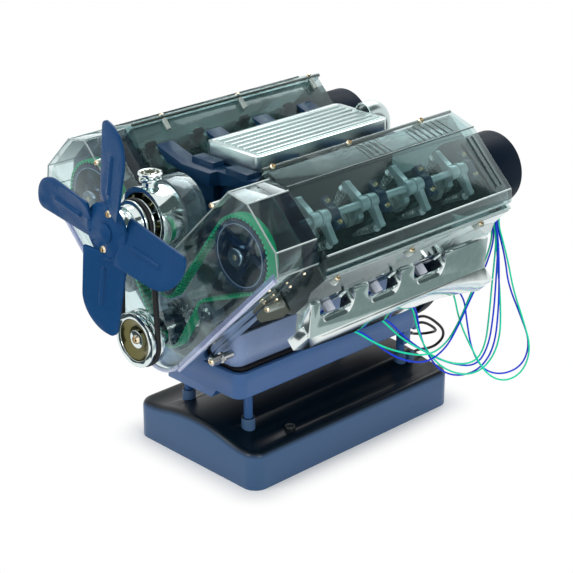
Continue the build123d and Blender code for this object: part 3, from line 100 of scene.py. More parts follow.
blue_routes = [
    [(107.6, -77.6, 155.2), (97.3, -77.6, 144.9), (85.5, -65, 133.5), (78.5, -51, 124.5), (86, -15, 112),
     (93, -1, 95), (99, 16, 81), (104, 41, 71), (104, 64, 76), (101, 82, 89), (97, 102, 108),
     (93.5, 123, 127), (88.5, 139, 147), (88, 134.5, 160), (88, 134.5, 172)],
    [(107.6, -27.6, 155.2), (97.3, -27.6, 144.9), (85.5, -18, 133.5), (78.5, -9, 124.5), (85, 15, 112),
     (90, 32, 91), (96, 55, 71), (98.5, 81, 55), (101, 108, 45.5), (102, 121.5, 60), (101, 127, 89),
     (100, 129, 115), (92.5, 139, 147), (92, 134.5, 160), (92, 134.5, 172)],
    [(107.6, 22.4, 155.2), (97.3, 22.4, 144.9), (85.5, 27, 133.5), (78.5, 32.5, 124.5), (84, 50, 112),
     (88, 50, 90), (94, 56, 68), (99, 67, 53), (102.5, 86, 44), (104, 110, 43.5), (105, 125.5, 59),
     (103.5, 130, 93), (95.5, 138, 122), (88.5, 143.5, 147), (88, 138.5, 160), (88, 138.5, 172)],
    [(107.6, 72.4, 155.2), (97.3, 72.4, 144.9), (85.5, 77, 133.5), (78.5, 83, 124.5), (87, 104, 108),
     (92, 104, 84), (95.5, 107, 59), (102, 116, 39), (112, 130, 34), (118, 148, 39), (117, 157, 57),
     (110, 151, 81), (101, 144, 108), (96, 145, 128), (90.5, 143.5, 147), (90, 138.5, 160), (90, 138.5, 172)]]
aqua_lengths = [307.4, 315.1, 306.6, 318.4]
blue_lengths = [315.6, 324.5, 311.1, 318.0]


class Flow:
    """A value on its way through a node tree, which can be used in sums."""

    def __init__(self, tree, socket):
        self.tree = tree
        self.socket = socket

    def maths(self, operation, *items):
        """Adds a Math node."""
        return self.tree.node("ShaderNodeMath", {"operation": operation}, dict(enumerate(items)))

    def __add__(self, other):
        return self.maths("ADD", self, other)

    def __sub__(self, other):
        return self.maths("SUBTRACT", self, other)

    def __rsub__(self, other):
        return self.maths("SUBTRACT", other, self)

    def __mul__(self, other):
        return self.maths("MULTIPLY", self, other)

    def __pow__(self, other):
        return self.maths("POWER", self, other)

    __radd__ = __add__
    __rmul__ = __mul__


class Wiring:
    """A node tree that is put together node by node."""

    def node(self, kind, settings=None, sockets=None, output=0):
        """Adds a node, sets it, feeds its sockets and returns one output."""
        made = self.nodes.new(kind)
        for setting, choice in (settings or {}).items():
            setattr(made, setting, choice)
        for socket, item in (sockets or {}).items():
            if isinstance(item, Flow):
                self.links.new(item.socket, made.inputs[socket])
            else:
                made.inputs[socket].default_value = item
        return None if output is None else Flow(self, made.outputs[output])


class Finish(Wiring):
    """A material."""

    def __init__(self, name):
        self.material = bpy.data.materials.new(name)
        self.material.use_nodes = True
        self.nodes = self.material.node_tree.nodes
        self.links = self.material.node_tree.links
        self.nodes.clear()

    def place(self):
        """The piece's own coordinates, in metres."""
        return self.node("ShaderNodeTexCoord", output="Object")

    def cloud(self, size, detail=2.0):
        """Soft noise whose patches are about as large as the size."""
        return self.node("ShaderNodeTexNoise", None, {
            "Vector": self.place(), "Scale": 1 / size, "Detail": detail})

    def between(self, amount, first, second):
        """Mixes two colours."""
        return self.node("ShaderNodeMix", {"data_type": "RGBA"}, {0: amount, 6: first, 7: second}, 2)

    def relief(self, height, depth, strength):
        """A bump of the given depth."""
        return self.node("ShaderNodeBump", None, {"Height": height, "Distance": depth, "Strength": strength})

    def close(self, shader):
        """Joins the last shader to the output."""
        self.node("ShaderNodeOutputMaterial", {"target": "ALL"}, {"Surface": shader}, None)
        return self.material


def shade(colour, factor):
    """A colour made darker or lighter, with full alpha."""
    return tuple(min(1.0, part * factor) for part in colour[:3]) + (1.0,)


grain_size = 0.5 * millimetre


def covering(name, colour):
    """The glossy soft plastic round a wire."""
    finish = Finish(name)
    patches = finish.cloud(14 * millimetre)
    grain = finish.cloud(grain_size)
    tone = finish.between(patches, shade(colour, 0.78), shade(colour, 1.2))
    skin = finish.node("ShaderNodeBsdfPrincipled", None, {
        "Base Color": tone, "Roughness": 0.3 + 0.16 * patches, "Specular IOR Level": 0.2,
        "Normal": finish.relief(grain, 0.03 * millimetre, 0.4)})
    return finish.close(skin)


def wire(name, route, thickness, finish, node):
    """One hanging wire on a smooth line through its route."""
    line = bpy.data.curves.new(name, "CURVE")
    line.dimensions = "3D"
    spline = line.splines.new("NURBS")
    spline.points.add(len(route) - 1)
    for point, place in zip(spline.points, route):
        point.co = (*(Vector(place) * millimetre), 1)
    spline.order_u = 3
    spline.use_endpoint_u = True
    spline.resolution_u = 8
    line.bevel_depth = thickness / 2
    line.bevel_resolution = 3
    line.use_fill_caps = True
    line.materials.append(finish)
    piece = place_object(name, line)
    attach(piece, "engine")
    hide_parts(node)


def wires(stem, routes, lengths, thickness, finish, node):
    """Numbered wires of one kind, which stand for one CAD node."""
    for number, (route, length) in enumerate(zip(routes, lengths), 1):
        wire(f"{stem}_{number}", route, thickness, finish, node)


aqua_covering = covering("aqua_covering", (0.01, 0.80, 0.46))
blue_covering = covering("blue_covering", (0.004, 0.05, 0.78))
wires("lead_aqua", aqua_routes, aqua_lengths, lead_thickness, aqua_covering, "spark_leads_aqua")
wires("lead_blue", blue_routes, blue_lengths, lead_thickness, blue_covering, "spark_leads_blue")

# Power lead: a black two-part wire, soft plastic over copper. It leaves the rubber bush under
# the tray, loops out behind the sump and goes back into the lug of the stand.
power_thickness = 2.4 * millimetre
power_routes = [
    [(43, 95.6, 74), (43, 103, 74), (43, 113, 69.5), (43.5, 123, 61.5), (43.5, 131.5, 53), (41, 135.5, 43.5),
     (36.5, 131.5, 35.5), (35, 121, 35), (38, 108, 40), (38, 97, 40)],
    [(43, 95.6, 68.5), (43, 102, 68.5), (43, 110, 65), (43, 118, 59.5), (40.5, 126, 53), (33.5, 132, 47),
     (24.5, 130, 43), (21, 120.5, 44.5), (25, 109, 50.5), (33, 104, 55), (36, 98.6, 57), (36, 91.6, 57)]]
power_lengths = [97.6, 101.5]
black_covering = covering("black_covering", (0.008, 0.008, 0.009))
wires("power_lead", power_routes, power_lengths, power_thickness, black_covering, "power_lead")

# Studio: a pale floor that fades into a white room close round the stand, a broad lamp
# overhead and behind, softer lamps at the front and right, and grey screens for the gloss.
floor_width = 3.2
stand_half = (0.062, 0.105, 1.0)
floor_fade = 0.035
white = (1, 1, 1, 1)


def rectangle(width, height):
    """The corners of a flat sheet about the origin."""
    return [(-width / 2, -height / 2, 0), (width / 2, -height / 2, 0),
            (width / 2, height / 2, 0), (-width / 2, height / 2, 0)]


def seen_rays(tree):
    """One for rays from the eye, straight, mirrored or through clear plastic."""
    seen = tree.node("ShaderNodeLightPath", output="Is Camera Ray")
    for kind in ("Is Glossy Ray", "Is Transmission Ray"):
        seen = seen.maths("MAXIMUM", seen, tree.node("ShaderNodeLightPath", output=kind))
    return seen


floor_mesh = bpy.data.meshes.new("floor")
floor_mesh.from_pydata(rectangle(floor_width, floor_width), [], [(0, 1, 2, 3)])
floor = place_object("floor", floor_mesh)
paper = Finish("paper")
beside = paper.node("ShaderNodeVectorMath", {"operation": "ABSOLUTE"}, {0: paper.place()})
beyond = paper.node("ShaderNodeVectorMath", {"operation": "SUBTRACT"}, {0: beside, 1: stand_half})
outside = paper.node("ShaderNodeVectorMath", {"operation": "MAXIMUM"}, {0: beyond, 1: (0, 0, 0)})
reach = paper.node("ShaderNodeVectorMath", {"operation": "LENGTH"}, {0: outside}, "Value")
fading = paper.node("ShaderNodeMapRange", {"interpolation_type": "SMOOTHSTEP"},
                    {"Value": reach, "From Max": floor_fade})
matt = paper.node("ShaderNodeBsdfDiffuse", None, {"Color": (0.93, 0.93, 0.93, 1)})
bright = paper.node("ShaderNodeEmission", None, {"Color": white, "Strength": 1.0})
floor_shader = paper.node("ShaderNodeMixShader", None, {0: fading * seen_rays(paper), 1: matt, 2: bright})
floor.data.materials.append(paper.close(floor_shader))
paper.material.cycles.emission_sampling = "NONE"


class Room(Wiring):
    """The world round the scene."""

    def __init__(self, name):
        world = bpy.data.worlds.new(name)
        world.use_nodes = True
        bpy.context.scene.world = world
        self.nodes = world.node_tree.nodes
        self.links = world.node_tree.links
        self.nodes.clear()


room = Room("room")
room_light = room.node("ShaderNodeBackground", None, {"Color": (0.96, 0.98, 1.0, 1), "Strength": 0.62})
room_white = room.node("ShaderNodeBackground", None, {"Color": white, "Strength": 1.0})
room_both = room.node("ShaderNodeMixShader", None, {0: seen_rays(room), 1: room_light, 2: room_white})
room.node("ShaderNodeOutputWorld", None, {"Surface": room_both}, None)

engine_middle = Vector((0, 0, 0.16))
lamps = [
    ("overhead_lamp", (-0.40, 0.70, 1.15), 0.9, 8.0),
    ("front_lamp", (-0.35, -1.15, 0.95), 0.6, 6.0),
    ("right_lamp", (1.35, -0.25, 0.75), 0.5, 5.0)]
for name, place, size, power in lamps:
    light = bpy.data.lights.new(name, "AREA")
    light.shape = "SQUARE"
    light.size = size
    light.energy = power
    lamp = place_object(name, light)
    lamp.location = place
    lamp.rotation_euler = (engine_middle - Vector(place)).to_track_quat("-Z", "Y").to_euler()


def screen(name, place, aim, width, height, colour):
    """A sheet that only shows in gloss, and takes no light off the object."""
    turn = (Vector(aim) - Vector(place)).to_track_quat("-Z", "Y").to_matrix().to_4x4()
    placing = Matrix.Translation(place) @ turn
    sheet = bpy.data.meshes.new(name)
    sheet.from_pydata([placing @ Vector(corner) for corner in rectangle(width, height)], [], [(0, 1, 2, 3)])
    cloth = Finish(name)
    glow = cloth.node("ShaderNodeEmission", None, {"Color": colour + (1.0,), "Strength": 1.0})
    sheet.materials.append(cloth.close(glow))
    cloth.material.cycles.emission_sampling = "NONE"
    piece = place_object(name, sheet)
    piece.visible_camera = False
    piece.visible_diffuse = False
    piece.visible_shadow = False


screens = [
    ("right_screen", (0.72, 0.62, 0.92), engine_middle, 1.3, 0.7, (0.07, 0.10, 0.10)),
    ("right_floor_screen", (0.36, 0.29, 0.005), (0.36, 0.29, 1), 0.17, 0.42, (0.20, 0.27, 0.26)),
    ("right_floor_edge", (0.36, 0.28, 0.004), (0.36, 0.28, 1), 0.34, 0.80, (0.48, 0.56, 0.55)),
    ("front_floor_screen", (-0.32, -0.52, 0.004), (-0.32, -0.52, 1), 0.50, 0.40, (0.05, 0.07, 0.08)),
    ("far_floor_screen_2", (0.86, 0, 0.004), (0.86, 0, 1), 0.16, 1.0, (0.30, 0.37, 0.36)),
    ("far_floor_screen_0", (-0.86, 0, 0.004), (-0.86, 0, 1), 0.16, 1.0, (0.30, 0.37, 0.36)),
    ("left_screen", (-1.0, 0.75, 0.86), engine_middle, 0.5, 0.6, (0.25, 0.30, 0.30))]
for details in screens:
    screen(*details)

# Stand: a hollow base of dark moulded plastic with rounded edges, closed by a plate, with four
# bosses for the legs and a lug for the power lead. Painted shade keeps its top near-black and painted light
# makes its sides slate-blue.
weld_gap = 0.01 * millimetre
skin_gap = 0.04 * millimetre
flat_angle = math.radians(0.8)
corner_angle = math.radians(32)


def moulded(name, colour, rough, gloss=0.5, painted_side_light=None):
    """Moulded plastic: a little uneven in tone and gloss, with a fine moulding grain. Given a side colour,
    faces turned sideways get it as painted light, and faces turned up keep the darker tone as painted shade.
    """
    finish = Finish(name)
    patches = finish.cloud(30 * millimetre, 3.0)
    streaks = finish.cloud(4 * millimetre, 4.0)
    grain = finish.cloud(grain_size)
    tone = finish.between(patches, shade(colour, 0.85), shade(colour, 1.15))
    if painted_side_light:
        # Painted light and shade: sideways faces take the lighter side colour, upward faces keep the darker
        # tone.
        facing = finish.node("ShaderNodeNewGeometry", output="Normal")
        rise = finish.node("ShaderNodeSeparateXYZ", None, {0: facing}, "Z")
        level = finish.node("ShaderNodeMapRange", None, {"Value": rise, "From Min": 0.75, "From Max": 0.15})
        tone = finish.between(level, tone, painted_side_light + (1.0,))
    skin = finish.node("ShaderNodeBsdfPrincipled", None, {
        "Base Color": tone, "Roughness": rough + 0.12 * streaks - 0.06, "Specular IOR Level": gloss,
        "Normal": finish.relief(grain, 0.04 * millimetre, 0.3)})
    return finish.close(skin)


def settle(piece):
    """Turns a piece's modifiers into plain mesh."""
    bpy.context.view_layer.update()
    seen = piece.evaluated_get(bpy.context.evaluated_depsgraph_get())
    finished = bpy.data.meshes.new_from_object(seen)
    piece.modifiers.clear()
    piece.data = finished
    piece.data.shade_smooth()
    piece.data.set_sharp_from_angle(angle=corner_angle)


def dress(node, finish, edge=0.35):
    """A welded copy of a CAD solid with softened edges, a hair inside it, which stands for it."""
    solid = frame["nodes"][node]
    form = bmesh.new()
    form.from_mesh(solid.data)
    bmesh.ops.remove_doubles(form, verts=form.verts, dist=weld_gap)
    bmesh.ops.dissolve_limit(form, angle_limit=flat_angle, verts=form.verts, edges=form.edges)
    form.normal_update()
    for point in form.verts:
        point.co -= point.normal * skin_gap
    skin = bpy.data.meshes.new(node + "_skin")
    form.to_mesh(skin)
    form.free()
    skin.materials.clear()
    skin.materials.append(finish)
    piece = place_object(node + "_skin", skin)
    if edge:
        rounding = piece.modifiers.new("edge", "BEVEL")
        rounding.width = edge * millimetre
        rounding.segments = 2
        rounding.limit_method = "ANGLE"
        rounding.angle_limit = corner_angle
    settle(piece)
    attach(piece, solid["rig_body"])
    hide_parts(node)


# Painted shade and light: one plastic, painted near-black on top and slate-blue on the sides.
stand_plastic = moulded("stand_plastic", (0.001, 0.005, 0.010), rough=0.3, gloss=0.25,
                        painted_side_light=(0.045, 0.105, 0.215))
button_plastic = moulded("button_plastic", (0.004, 0.006, 0.008), rough=0.35)
dress("base_shell", stand_plastic, edge=0.5)
dress("base_cover", button_plastic, edge=0.3)
dress("start_button", button_plastic, edge=0.3)

# Battery pack: dry cells in plain grey foil, pushed into a holder inside the hollow stand.
# They can only be seen when the plate under the stand is off.
cell_wrapper = moulded("cell_wrapper", (0.3, 0.3, 0.31), rough=0.35)
dress("battery_pack", cell_wrapper, edge=0.2)

# Sump: a slate-blue lower tray on four legs, a black gasket and a grey-violet upper pan.
# The three are moulded apart and stand on each other.
tray_plastic = moulded("tray_plastic", (0.040, 0.115, 0.290), rough=0.32, gloss=0.4)
gasket_rubber = moulded("gasket_rubber", (0.003, 0.003, 0.004), rough=0.6, gloss=0.3)
pan_plastic = moulded("pan_plastic", (0.230, 0.320, 0.530), rough=0.25, gloss=0.5)
dress("sump_tray", tray_plastic, edge=0.5)
dress("sump_gasket", gasket_rubber, edge=0.3)
dress("sump_pan", pan_plastic, edge=0.5)


# Block: smoky clear plastic, through which the bores and the crankshaft show. An ear at each
# side takes two brass screws and a clear boss, and a steel drain bolt stands beside the pan.
def glazed(name, tint, body, haze, gleam=0.05, rough=0.05, edge_gleam=1.6):
    """Clear plastic: tinted and a little hazy, with a mirror skin that grows as it turns away."""
    finish = Finish(name)
    patches = finish.cloud(22 * millimetre, 3.0)
    waves = finish.cloud(11 * millimetre, 1.0)
    bend = finish.relief(waves, 0.25 * millimetre, 0.5)
    tone = finish.between(patches, shade(body, 0.7), shade(body, 1.3))
    through = finish.node("ShaderNodeBsdfTransparent", None, {"Color": tint + (1.0,)})
    mass = finish.node("ShaderNodeBsdfPrincipled", None, {
        "Base Color": tone, "Roughness": 0.5, "Specular IOR Level": 0.2})
    skin = finish.node("ShaderNodeBsdfPrincipled", None, {
        "Base Color": (0.84, 0.96, 0.97, 1), "Metallic": 1.0, "Roughness": rough + 0.06 * patches,
        "Normal": bend})
    turned = finish.node("ShaderNodeLayerWeight", None, {"Blend": 0.5}, "Facing")
    cloudy = haze * (0.7 + 0.6 * patches) + haze * turned
    mirrored = gleam + edge_gleam * turned ** 4
    inner = finish.node("ShaderNodeMixShader", None, {0: cloudy, 1: through, 2: mass})
    return finish.close(finish.node("ShaderNodeMixShader", None, {0: mirrored, 1: inner, 2: skin}))


def turned_metal(name, colour, rough):
    """Turned metal with faint marks."""
    finish = Finish(name)
    marks = finish.cloud(0.8 * millimetre, 4.0)
    tone = finish.between(marks, shade(colour, 0.85), shade(colour, 1.1))
    skin = finish.node("ShaderNodeBsdfPrincipled", None, {
        "Base Color": tone, "Metallic": 1.0, "Roughness": rough + 0.12 * marks,
        "Normal": finish.relief(marks, 0.02 * millimetre, 0.3)})
    return finish.close(skin)


class Pattern(Wiring):
    """A Geometry Nodes tree that makes pieces from guide points or guide lines."""

    def __init__(self, name, *sizes):
        self.tree = bpy.data.node_groups.new(name, "GeometryNodeTree")
        self.nodes = self.tree.nodes
        self.links = self.tree.links
        sockets = self.tree.interface
        sockets.new_socket("Guide", in_out="INPUT", socket_type="NodeSocketGeometry")
        for size in sizes:
            sockets.new_socket(size, in_out="INPUT", socket_type="NodeSocketFloat")
        sockets.new_socket("Finish", in_out="INPUT", socket_type="NodeSocketMaterial")
        sockets.new_socket("Pieces", in_out="OUTPUT", socket_type="NodeSocketGeometry")
        self.given = self.nodes.new("NodeGroupInput")

    def size(self, name):
        """One of the tree's own inputs."""
        return Flow(self, self.given.outputs[name])

    def close(self, shape):
        """Makes the shape plain mesh and gives it its material."""
        plain = self.node("GeometryNodeRealizeInstances", None, {0: shape})
        coated = self.node("GeometryNodeSetMaterial", None, {
            "Geometry": plain, "Material": self.size("Finish")})
        self.node("NodeGroupOutput", None, {0: coated}, None)
        return self.tree

    def scatter(self, shape, pivot="AUTO"):
        """Stands the shape on every guide point, along the point's axis."""
        axis = self.node("GeometryNodeInputNamedAttribute", {"data_type": "FLOAT_VECTOR"}, {"Name": "axis"})
        turn = self.node("FunctionNodeAlignRotationToVector", {"axis": "Z", "pivot_axis": pivot},
                         {"Vector": axis})
        stood = self.node("GeometryNodeInstanceOnPoints", None, {
            "Points": self.size("Guide"), "Instance": shape, "Rotation": turn})
        return self.close(stood)


def studs(name, sides):
    """Plain round or angular studs, narrower at the top where the taper share is below one."""
    stud = Pattern(name, "Radius", "Height", "Taper Share")
    radius = stud.size("Radius")
    return stud.scatter(stud.node("GeometryNodeMeshCone", None, {
        "Vertices": sides, "Radius Bottom": radius, "Radius Top": radius * stud.size("Taper Share"),
        "Depth": stud.size("Height")}))


def pan_screws():
    """Pan-headed screws with a cross recess."""
    screw = Pattern("pan_screws", "Radius", "Height")
    radius = screw.size("Radius")
    height = screw.size("Height")
    head = screw.node("GeometryNodeMeshCone", None, {
        "Vertices": 16, "Radius Bottom": radius, "Radius Top": 0.75 * radius, "Depth": height})
    for along_share, across_share in ((1.2, 0.42), (0.42, 1.2)):
        sizes = screw.node("ShaderNodeCombineXYZ", None, {
            "X": along_share * radius, "Y": across_share * radius, "Z": 1.5 * height})
        bar = screw.node("GeometryNodeMeshCube", None, {"Size": sizes})
        lift = screw.node("ShaderNodeCombineXYZ", None, {"Z": height})
        arm = screw.node("GeometryNodeTransform", None, {"Geometry": bar, "Translation": lift})
        head = screw.node("GeometryNodeMeshBoolean", {"operation": "DIFFERENCE"}, {0: head, 1: arm})
    return screw.scatter(head)


def guide_points(places, axes):
    """Guide points with an axis each. The axes start again when they run out."""
    marks = bpy.data.meshes.new("guide")
    marks.from_pydata([Vector(place) * millimetre for place in places], [], [])
    ways = marks.attributes.new("axis", "FLOAT_VECTOR", "POINT")
    for number, way in enumerate(ways.data):
        way.vector = axes[number % len(axes)]
    return marks


def repeat(name, pattern, guide, sizes, finish, body):
    """Runs a pattern over its guide and keeps the result as one plain piece."""
    piece = place_object(name, guide)
    run = piece.modifiers.new("pattern", "NODES")
    run.node_group = pattern
    for item in pattern.interface.items_tree:
        if item.in_out == "INPUT" and item.name in sizes:
            run[item.identifier] = sizes[item.name]
        elif item.in_out == "INPUT" and item.name == "Finish":
            run[item.identifier] = finish
    settle(piece)
    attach(piece, body)


round_studs = studs("round_studs", 20)
six_sided_studs = studs("six_sided_studs", 6)
screw_heads = pan_screws()
block_plastic = glazed("block_plastic", (0.40, 0.48, 0.54), (0.014, 0.023, 0.038), haze=0.26, gleam=0.025)
boss_plastic = glazed("boss_plastic", (0.80, 0.84, 0.80), (0.40, 0.43, 0.38), haze=0.4, gleam=0.15)
brass = turned_metal("brass", (0.92, 0.78, 0.56), rough=0.16)
steel = turned_metal("steel", (0.62, 0.63, 0.64), rough=0.22)
dress("engine_block", block_plastic, edge=0.5)


def pins(name, places, axes, radius, height, finish, taper_share=1.0, body="engine",
         pattern=round_studs):
    """Pins on their feet, from sizes in millimetres."""
    sizes = {"Radius": radius * millimetre, "Height": height * millimetre, "Taper Share": taper_share}
    repeat(name, pattern, guide_points(places, axes), sizes, finish, body)


def screws(name, places, axes, radius, height, body="engine"):
    """Brass screws, from the size of the head in millimetres."""
    sizes = {"Radius": radius * millimetre, "Height": height * millimetre}
    repeat(name, screw_heads, guide_points(places, axes), sizes, brass, body)


crank_z = 124.0
sides = {"right": 1, "left": -1}
forwards = (0, -1, 0)
diagonal = math.sqrt(0.5)


def bank(side, u, w, y):
    """A place in a bank, from its offset, its height along the bank and its Y, in millimetres."""
    return side * (w + u) * diagonal, y, crank_z + (w - u) * diagonal


def both_banks(spots):
    """The same places in both banks."""
    return [bank(side, *spot) for side in sides.values() for spot in spots]


def closed_mesh(name, form, finish):
    """A mesh of one finish from a closed form, with its faces outwards."""
    bmesh.ops.recalc_face_normals(form, faces=form.faces)
    shape = bpy.data.meshes.new(name)
    form.to_mesh(shape)
    form.free()
    shape.materials.append(finish)
    return shape


def prism(name, outline, front, rear, finish):
    """A plate of the same outline on both banks, from its offsets and heights along a bank."""
    form = bmesh.new()
    for side in sides.values():
        ends = [[form.verts.new(Vector(bank(side, u, w, y)) * millimetre) for u, w in outline]
                for y in (front, rear)]
        form.faces.new(ends[0])
        form.faces.new(ends[1])
        for point in range(len(outline)):
            after = (point + 1) % len(outline)
            form.faces.new((ends[0][point], ends[0][after], ends[1][after], ends[1][point]))
    piece = place_object(name, closed_mesh(name, form, finish))
    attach(piece, "engine")


ear_plastic = moulded("ear_plastic", (0.095, 0.105, 0.075), rough=0.25, gloss=0.6)
ear_outline = [(27, 62), (33, 61), (38, 64), (46, 88), (45.5, 97), (27, 97)]
ear_front_y = -107.2
ear_rear_y = -106.05
ear_screw_spots = [(35.4, w, ear_front_y) for w in (80, 91)]
prism("ear_plates", ear_outline, ear_front_y, ear_rear_y, ear_plastic)
screws("ear_screws", both_banks(ear_screw_spots), [forwards], radius=1.9, height=1.1)

boss_spot = (38, 95)
boss_foot_y = -107
boss_length = 15
pins("ear_bosses", both_banks([(*boss_spot, boss_foot_y)]), [forwards],
     radius=3.2, height=boss_length, taper_share=0.85, finish=boss_plastic)
screws("ear_boss_screws", both_banks([(*boss_spot, boss_foot_y - boss_length)]), [forwards],
       radius=2.2, height=1.2)

drain_x = 36.5
drain_z = 104.5
drain_head_y = -118
drain_head_height = 7.5
drain_parts = [
    ("drain_bolt", -105, 3.0, 20.0, 1.0, round_studs),
    ("drain_bolt_collar", -114, 4.2, 1.6, 1.0, round_studs),
    ("drain_bolt_head", drain_head_y, 4.0, drain_head_height, 0.9, six_sided_studs)]
for name, y, radius, height, taper_share, pattern in drain_parts:
    pins(name, [(drain_x, y, drain_z)], [forwards], radius, height, steel, taper_share,
         pattern=pattern)
screws("drain_bolt_tip", [(drain_x, drain_head_y - drain_head_height, drain_z)], [forwards],
       radius=2.4, height=1.2)

# Crankshaft, flywheel and drive motor: turned steel deep inside the clear plastic. The shaft
# runs in the five main bearings of the block, and the motor turns it through the flywheel.
for node in ("crankshaft", "flywheel", "drive_motor"):
    dress(node, steel, edge=0.2)

# Rods and pistons: grey mouldings, two rods on every crank throw. Each rod swings on the
# wrist pin of a hollow piston that slides in its bore.
grey_plastic = moulded("grey_plastic", (0.24, 0.27, 0.26), rough=0.3, gloss=0.6)
for group in ("outer", "inner"):
    dress(f"connecting_rods_{group}", grey_plastic, edge=0.2)
    for name in sides:
        dress(f"pistons_{name}_{group}", grey_plastic, edge=0.2)

# Heads: clear housings that show dark against the block, with clear lugs on the outer wall,
# each with a brass screw that holds the cover.
head_plastic = glazed("head_plastic", (0.47, 0.59, 0.59), (0.014, 0.028, 0.029), haze=0.24, gleam=0.025)
lug_rows = {1: (-92.3, -14.6, 63.4), -1: (-88, -10, 68)}
lug_spot = (46.6, 137.6)
lug_screw_spot = (46.8, 143.6)
outwards = {side: (side * diagonal, 0, diagonal) for side in sides.values()}


def bank_row(side, u, w, rows):
    """Places in a row along a bank."""
    return [bank(side, u, w, y) for y in rows]


for name, side in sides.items():
    dress(f"cylinder_head_{name}", head_plastic, edge=0.4)
    pins(f"head_lugs_{name}", bank_row(side, *lug_spot, lug_rows[side]), [outwards[side]],
         radius=3.4, height=6.0, finish=boss_plastic)
    screws(f"head_lug_screws_{name}", bank_row(side, *lug_screw_spot, lug_rows[side]), [outwards[side]],
           radius=2.3, height=1.4)

# Valves: turned steel, with a collar near the tip of each stem. A coil spring of bright wire
# stands between the collar and the head and holds the valve shut.
cylinder_pitch = 50
middle_y = -5
bank_stagger = 3.9
cylinder_rows = {side: [middle_y + (number - 1.5) * cylinder_pitch + side * bank_stagger
                        for number in range(4)] for side in sides.values()}
valve_stagger = 4.6
valve_tilt = math.radians(15.0)
valve_tip_u = 19.0
valve_tip_w = 136.5
collar_low = 6.95
spring_length = 19.0
spring_sizes = {
    "Foot Radius": 2.0 * millimetre, "Top Radius": 3.5 * millimetre, "Height": spring_length * millimetre,
    "Turns": 6.0, "Wire Radius": 0.35 * millimetre}


def coil_springs():
    """Coil springs of round wire, narrower at the foot, where the cams pass."""
    spring = Pattern("coil_springs", "Foot Radius", "Top Radius", "Height", "Turns", "Wire Radius")
    coil = spring.node("GeometryNodeCurveSpiral", None, {
        "Resolution": 10, "Rotations": spring.size("Turns"), "Start Radius": spring.size("Foot Radius"),
        "End Radius": spring.size("Top Radius"), "Height": spring.size("Height")})
    section = spring.node("GeometryNodeCurvePrimitiveCircle", None, {
        "Resolution": 6, "Radius": spring.size("Wire Radius")})
    return spring.scatter(spring.node("GeometryNodeCurveToMesh", None, {
        "Curve": coil, "Profile Curve": section, "Fill Caps": True}))


springs = coil_springs()
spring_reach = collar_low + spring_length
for name, side in sides.items():
    for kind, way in (("inlet", -1), ("exhaust", 1)):
        dress(f"{kind}_valves_{name}", steel, edge=0.0)
        lean_u = way * math.sin(valve_tilt)
        lean_w = math.cos(valve_tilt)
        axis = (side * (lean_w + lean_u) * diagonal, 0, (lean_w - lean_u) * diagonal)
        foot_u = way * valve_tip_u - spring_reach * lean_u
        foot_w = valve_tip_w - spring_reach * lean_w
        feet = bank_row(side, foot_u, foot_w, [y + way * valve_stagger for y in cylinder_rows[side]])
        repeat(f"{kind}_springs_{name}", springs, guide_points(feet, [axis]), spring_sizes, steel,
               f"{kind}_valves_{name}")

# Camshafts and rockers: grey mouldings. The rockers swing on plain shafts, which dark caps
# with two brass screws each clamp to the head.
cap_offset = 13
cap_screw_offsets = (-9, 9)
cap_screw_w = 144
rocker_plastic = glazed("rocker_plastic", (0.72, 0.80, 0.80), (0.46, 0.54, 0.55), haze=0.5, gleam=0.10)
navy_plastic = moulded("navy_plastic", (0.005, 0.022, 0.055), rough=0.25, gloss=0.3)
for name, side in sides.items():
    dress(f"camshaft_{name}", grey_plastic, edge=0.0)
    for kind in ("inlet", "exhaust"):
        dress(f"{kind}_rockers_{name}", rocker_plastic, edge=0.5)
    tops = [bank(side, u, cap_screw_w, y + cap_offset)
            for y in cylinder_rows[side] for u in cap_screw_offsets]
    screws(f"rocker_cap_screws_{name}", tops, [outwards[side]], radius=2.4, height=1.5)
dress("rocker_shafts", rocker_plastic, edge=0.2)
dress("rocker_caps", navy_plastic, edge=0.5)

# Rocker covers: clear lids with a grey-green tint. Grooves slant across the inner chamfer, pale rails along
# the outer flange are painted highlights where its edges catch the light, and brass screws on clear posts
# hold the inner flange.
cover_plastic = glazed("cover_plastic", (0.85, 0.94, 0.94), (0.05, 0.085, 0.085), haze=0.05, gleam=0.02)
groove_plastic = glazed("groove_plastic", (0.30, 0.38, 0.37), (0.03, 0.05, 0.05), haze=0.5, gleam=0.03)
flange_plastic = moulded("flange_plastic", (0.030, 0.036, 0.026), rough=0.2, gloss=0.4)
# Painted highlight: pale hazy beads along the covers' flange edges and the timing cover's upper edges.
highlight_rail_glaze = glazed("highlight_rail_glaze", (0.70, 0.76, 0.75), (0.42, 0.48, 0.47), haze=0.45, gleam=0.12)


def beads():
    """Round beads along guide lines."""
    bead = Pattern("beads", "Radius")
    line = bead.node("GeometryNodeMeshToCurve", None, {"Mesh": bead.size("Guide")})
    section = bead.node("GeometryNodeCurvePrimitiveCircle", None, {
        "Resolution": 8, "Radius": bead.size("Radius")})
    return bead.close(bead.node("GeometryNodeCurveToMesh", None, {
        "Curve": line, "Profile Curve": section, "Fill Caps": True}))


def guide_lines(lines):
    """Guide lines, each through its own points."""
    marks = bpy.data.meshes.new("guide")
    places = [Vector(place) * millimetre for line in lines for place in line]
    joins = []
    start = 0
    for line in lines:
        joins += [(start + step, start + step + 1) for step in range(len(line) - 1)]
        start += len(line)
    marks.from_pydata(places, joins, [])
    return marks


bead_lines = beads()


def trim(name, lines, finish, radius, body="engine"):
    """Beads along lines, from a radius in millimetres."""
    repeat(name, bead_lines, guide_lines(lines), {"Radius": radius * millimetre}, finish, body)


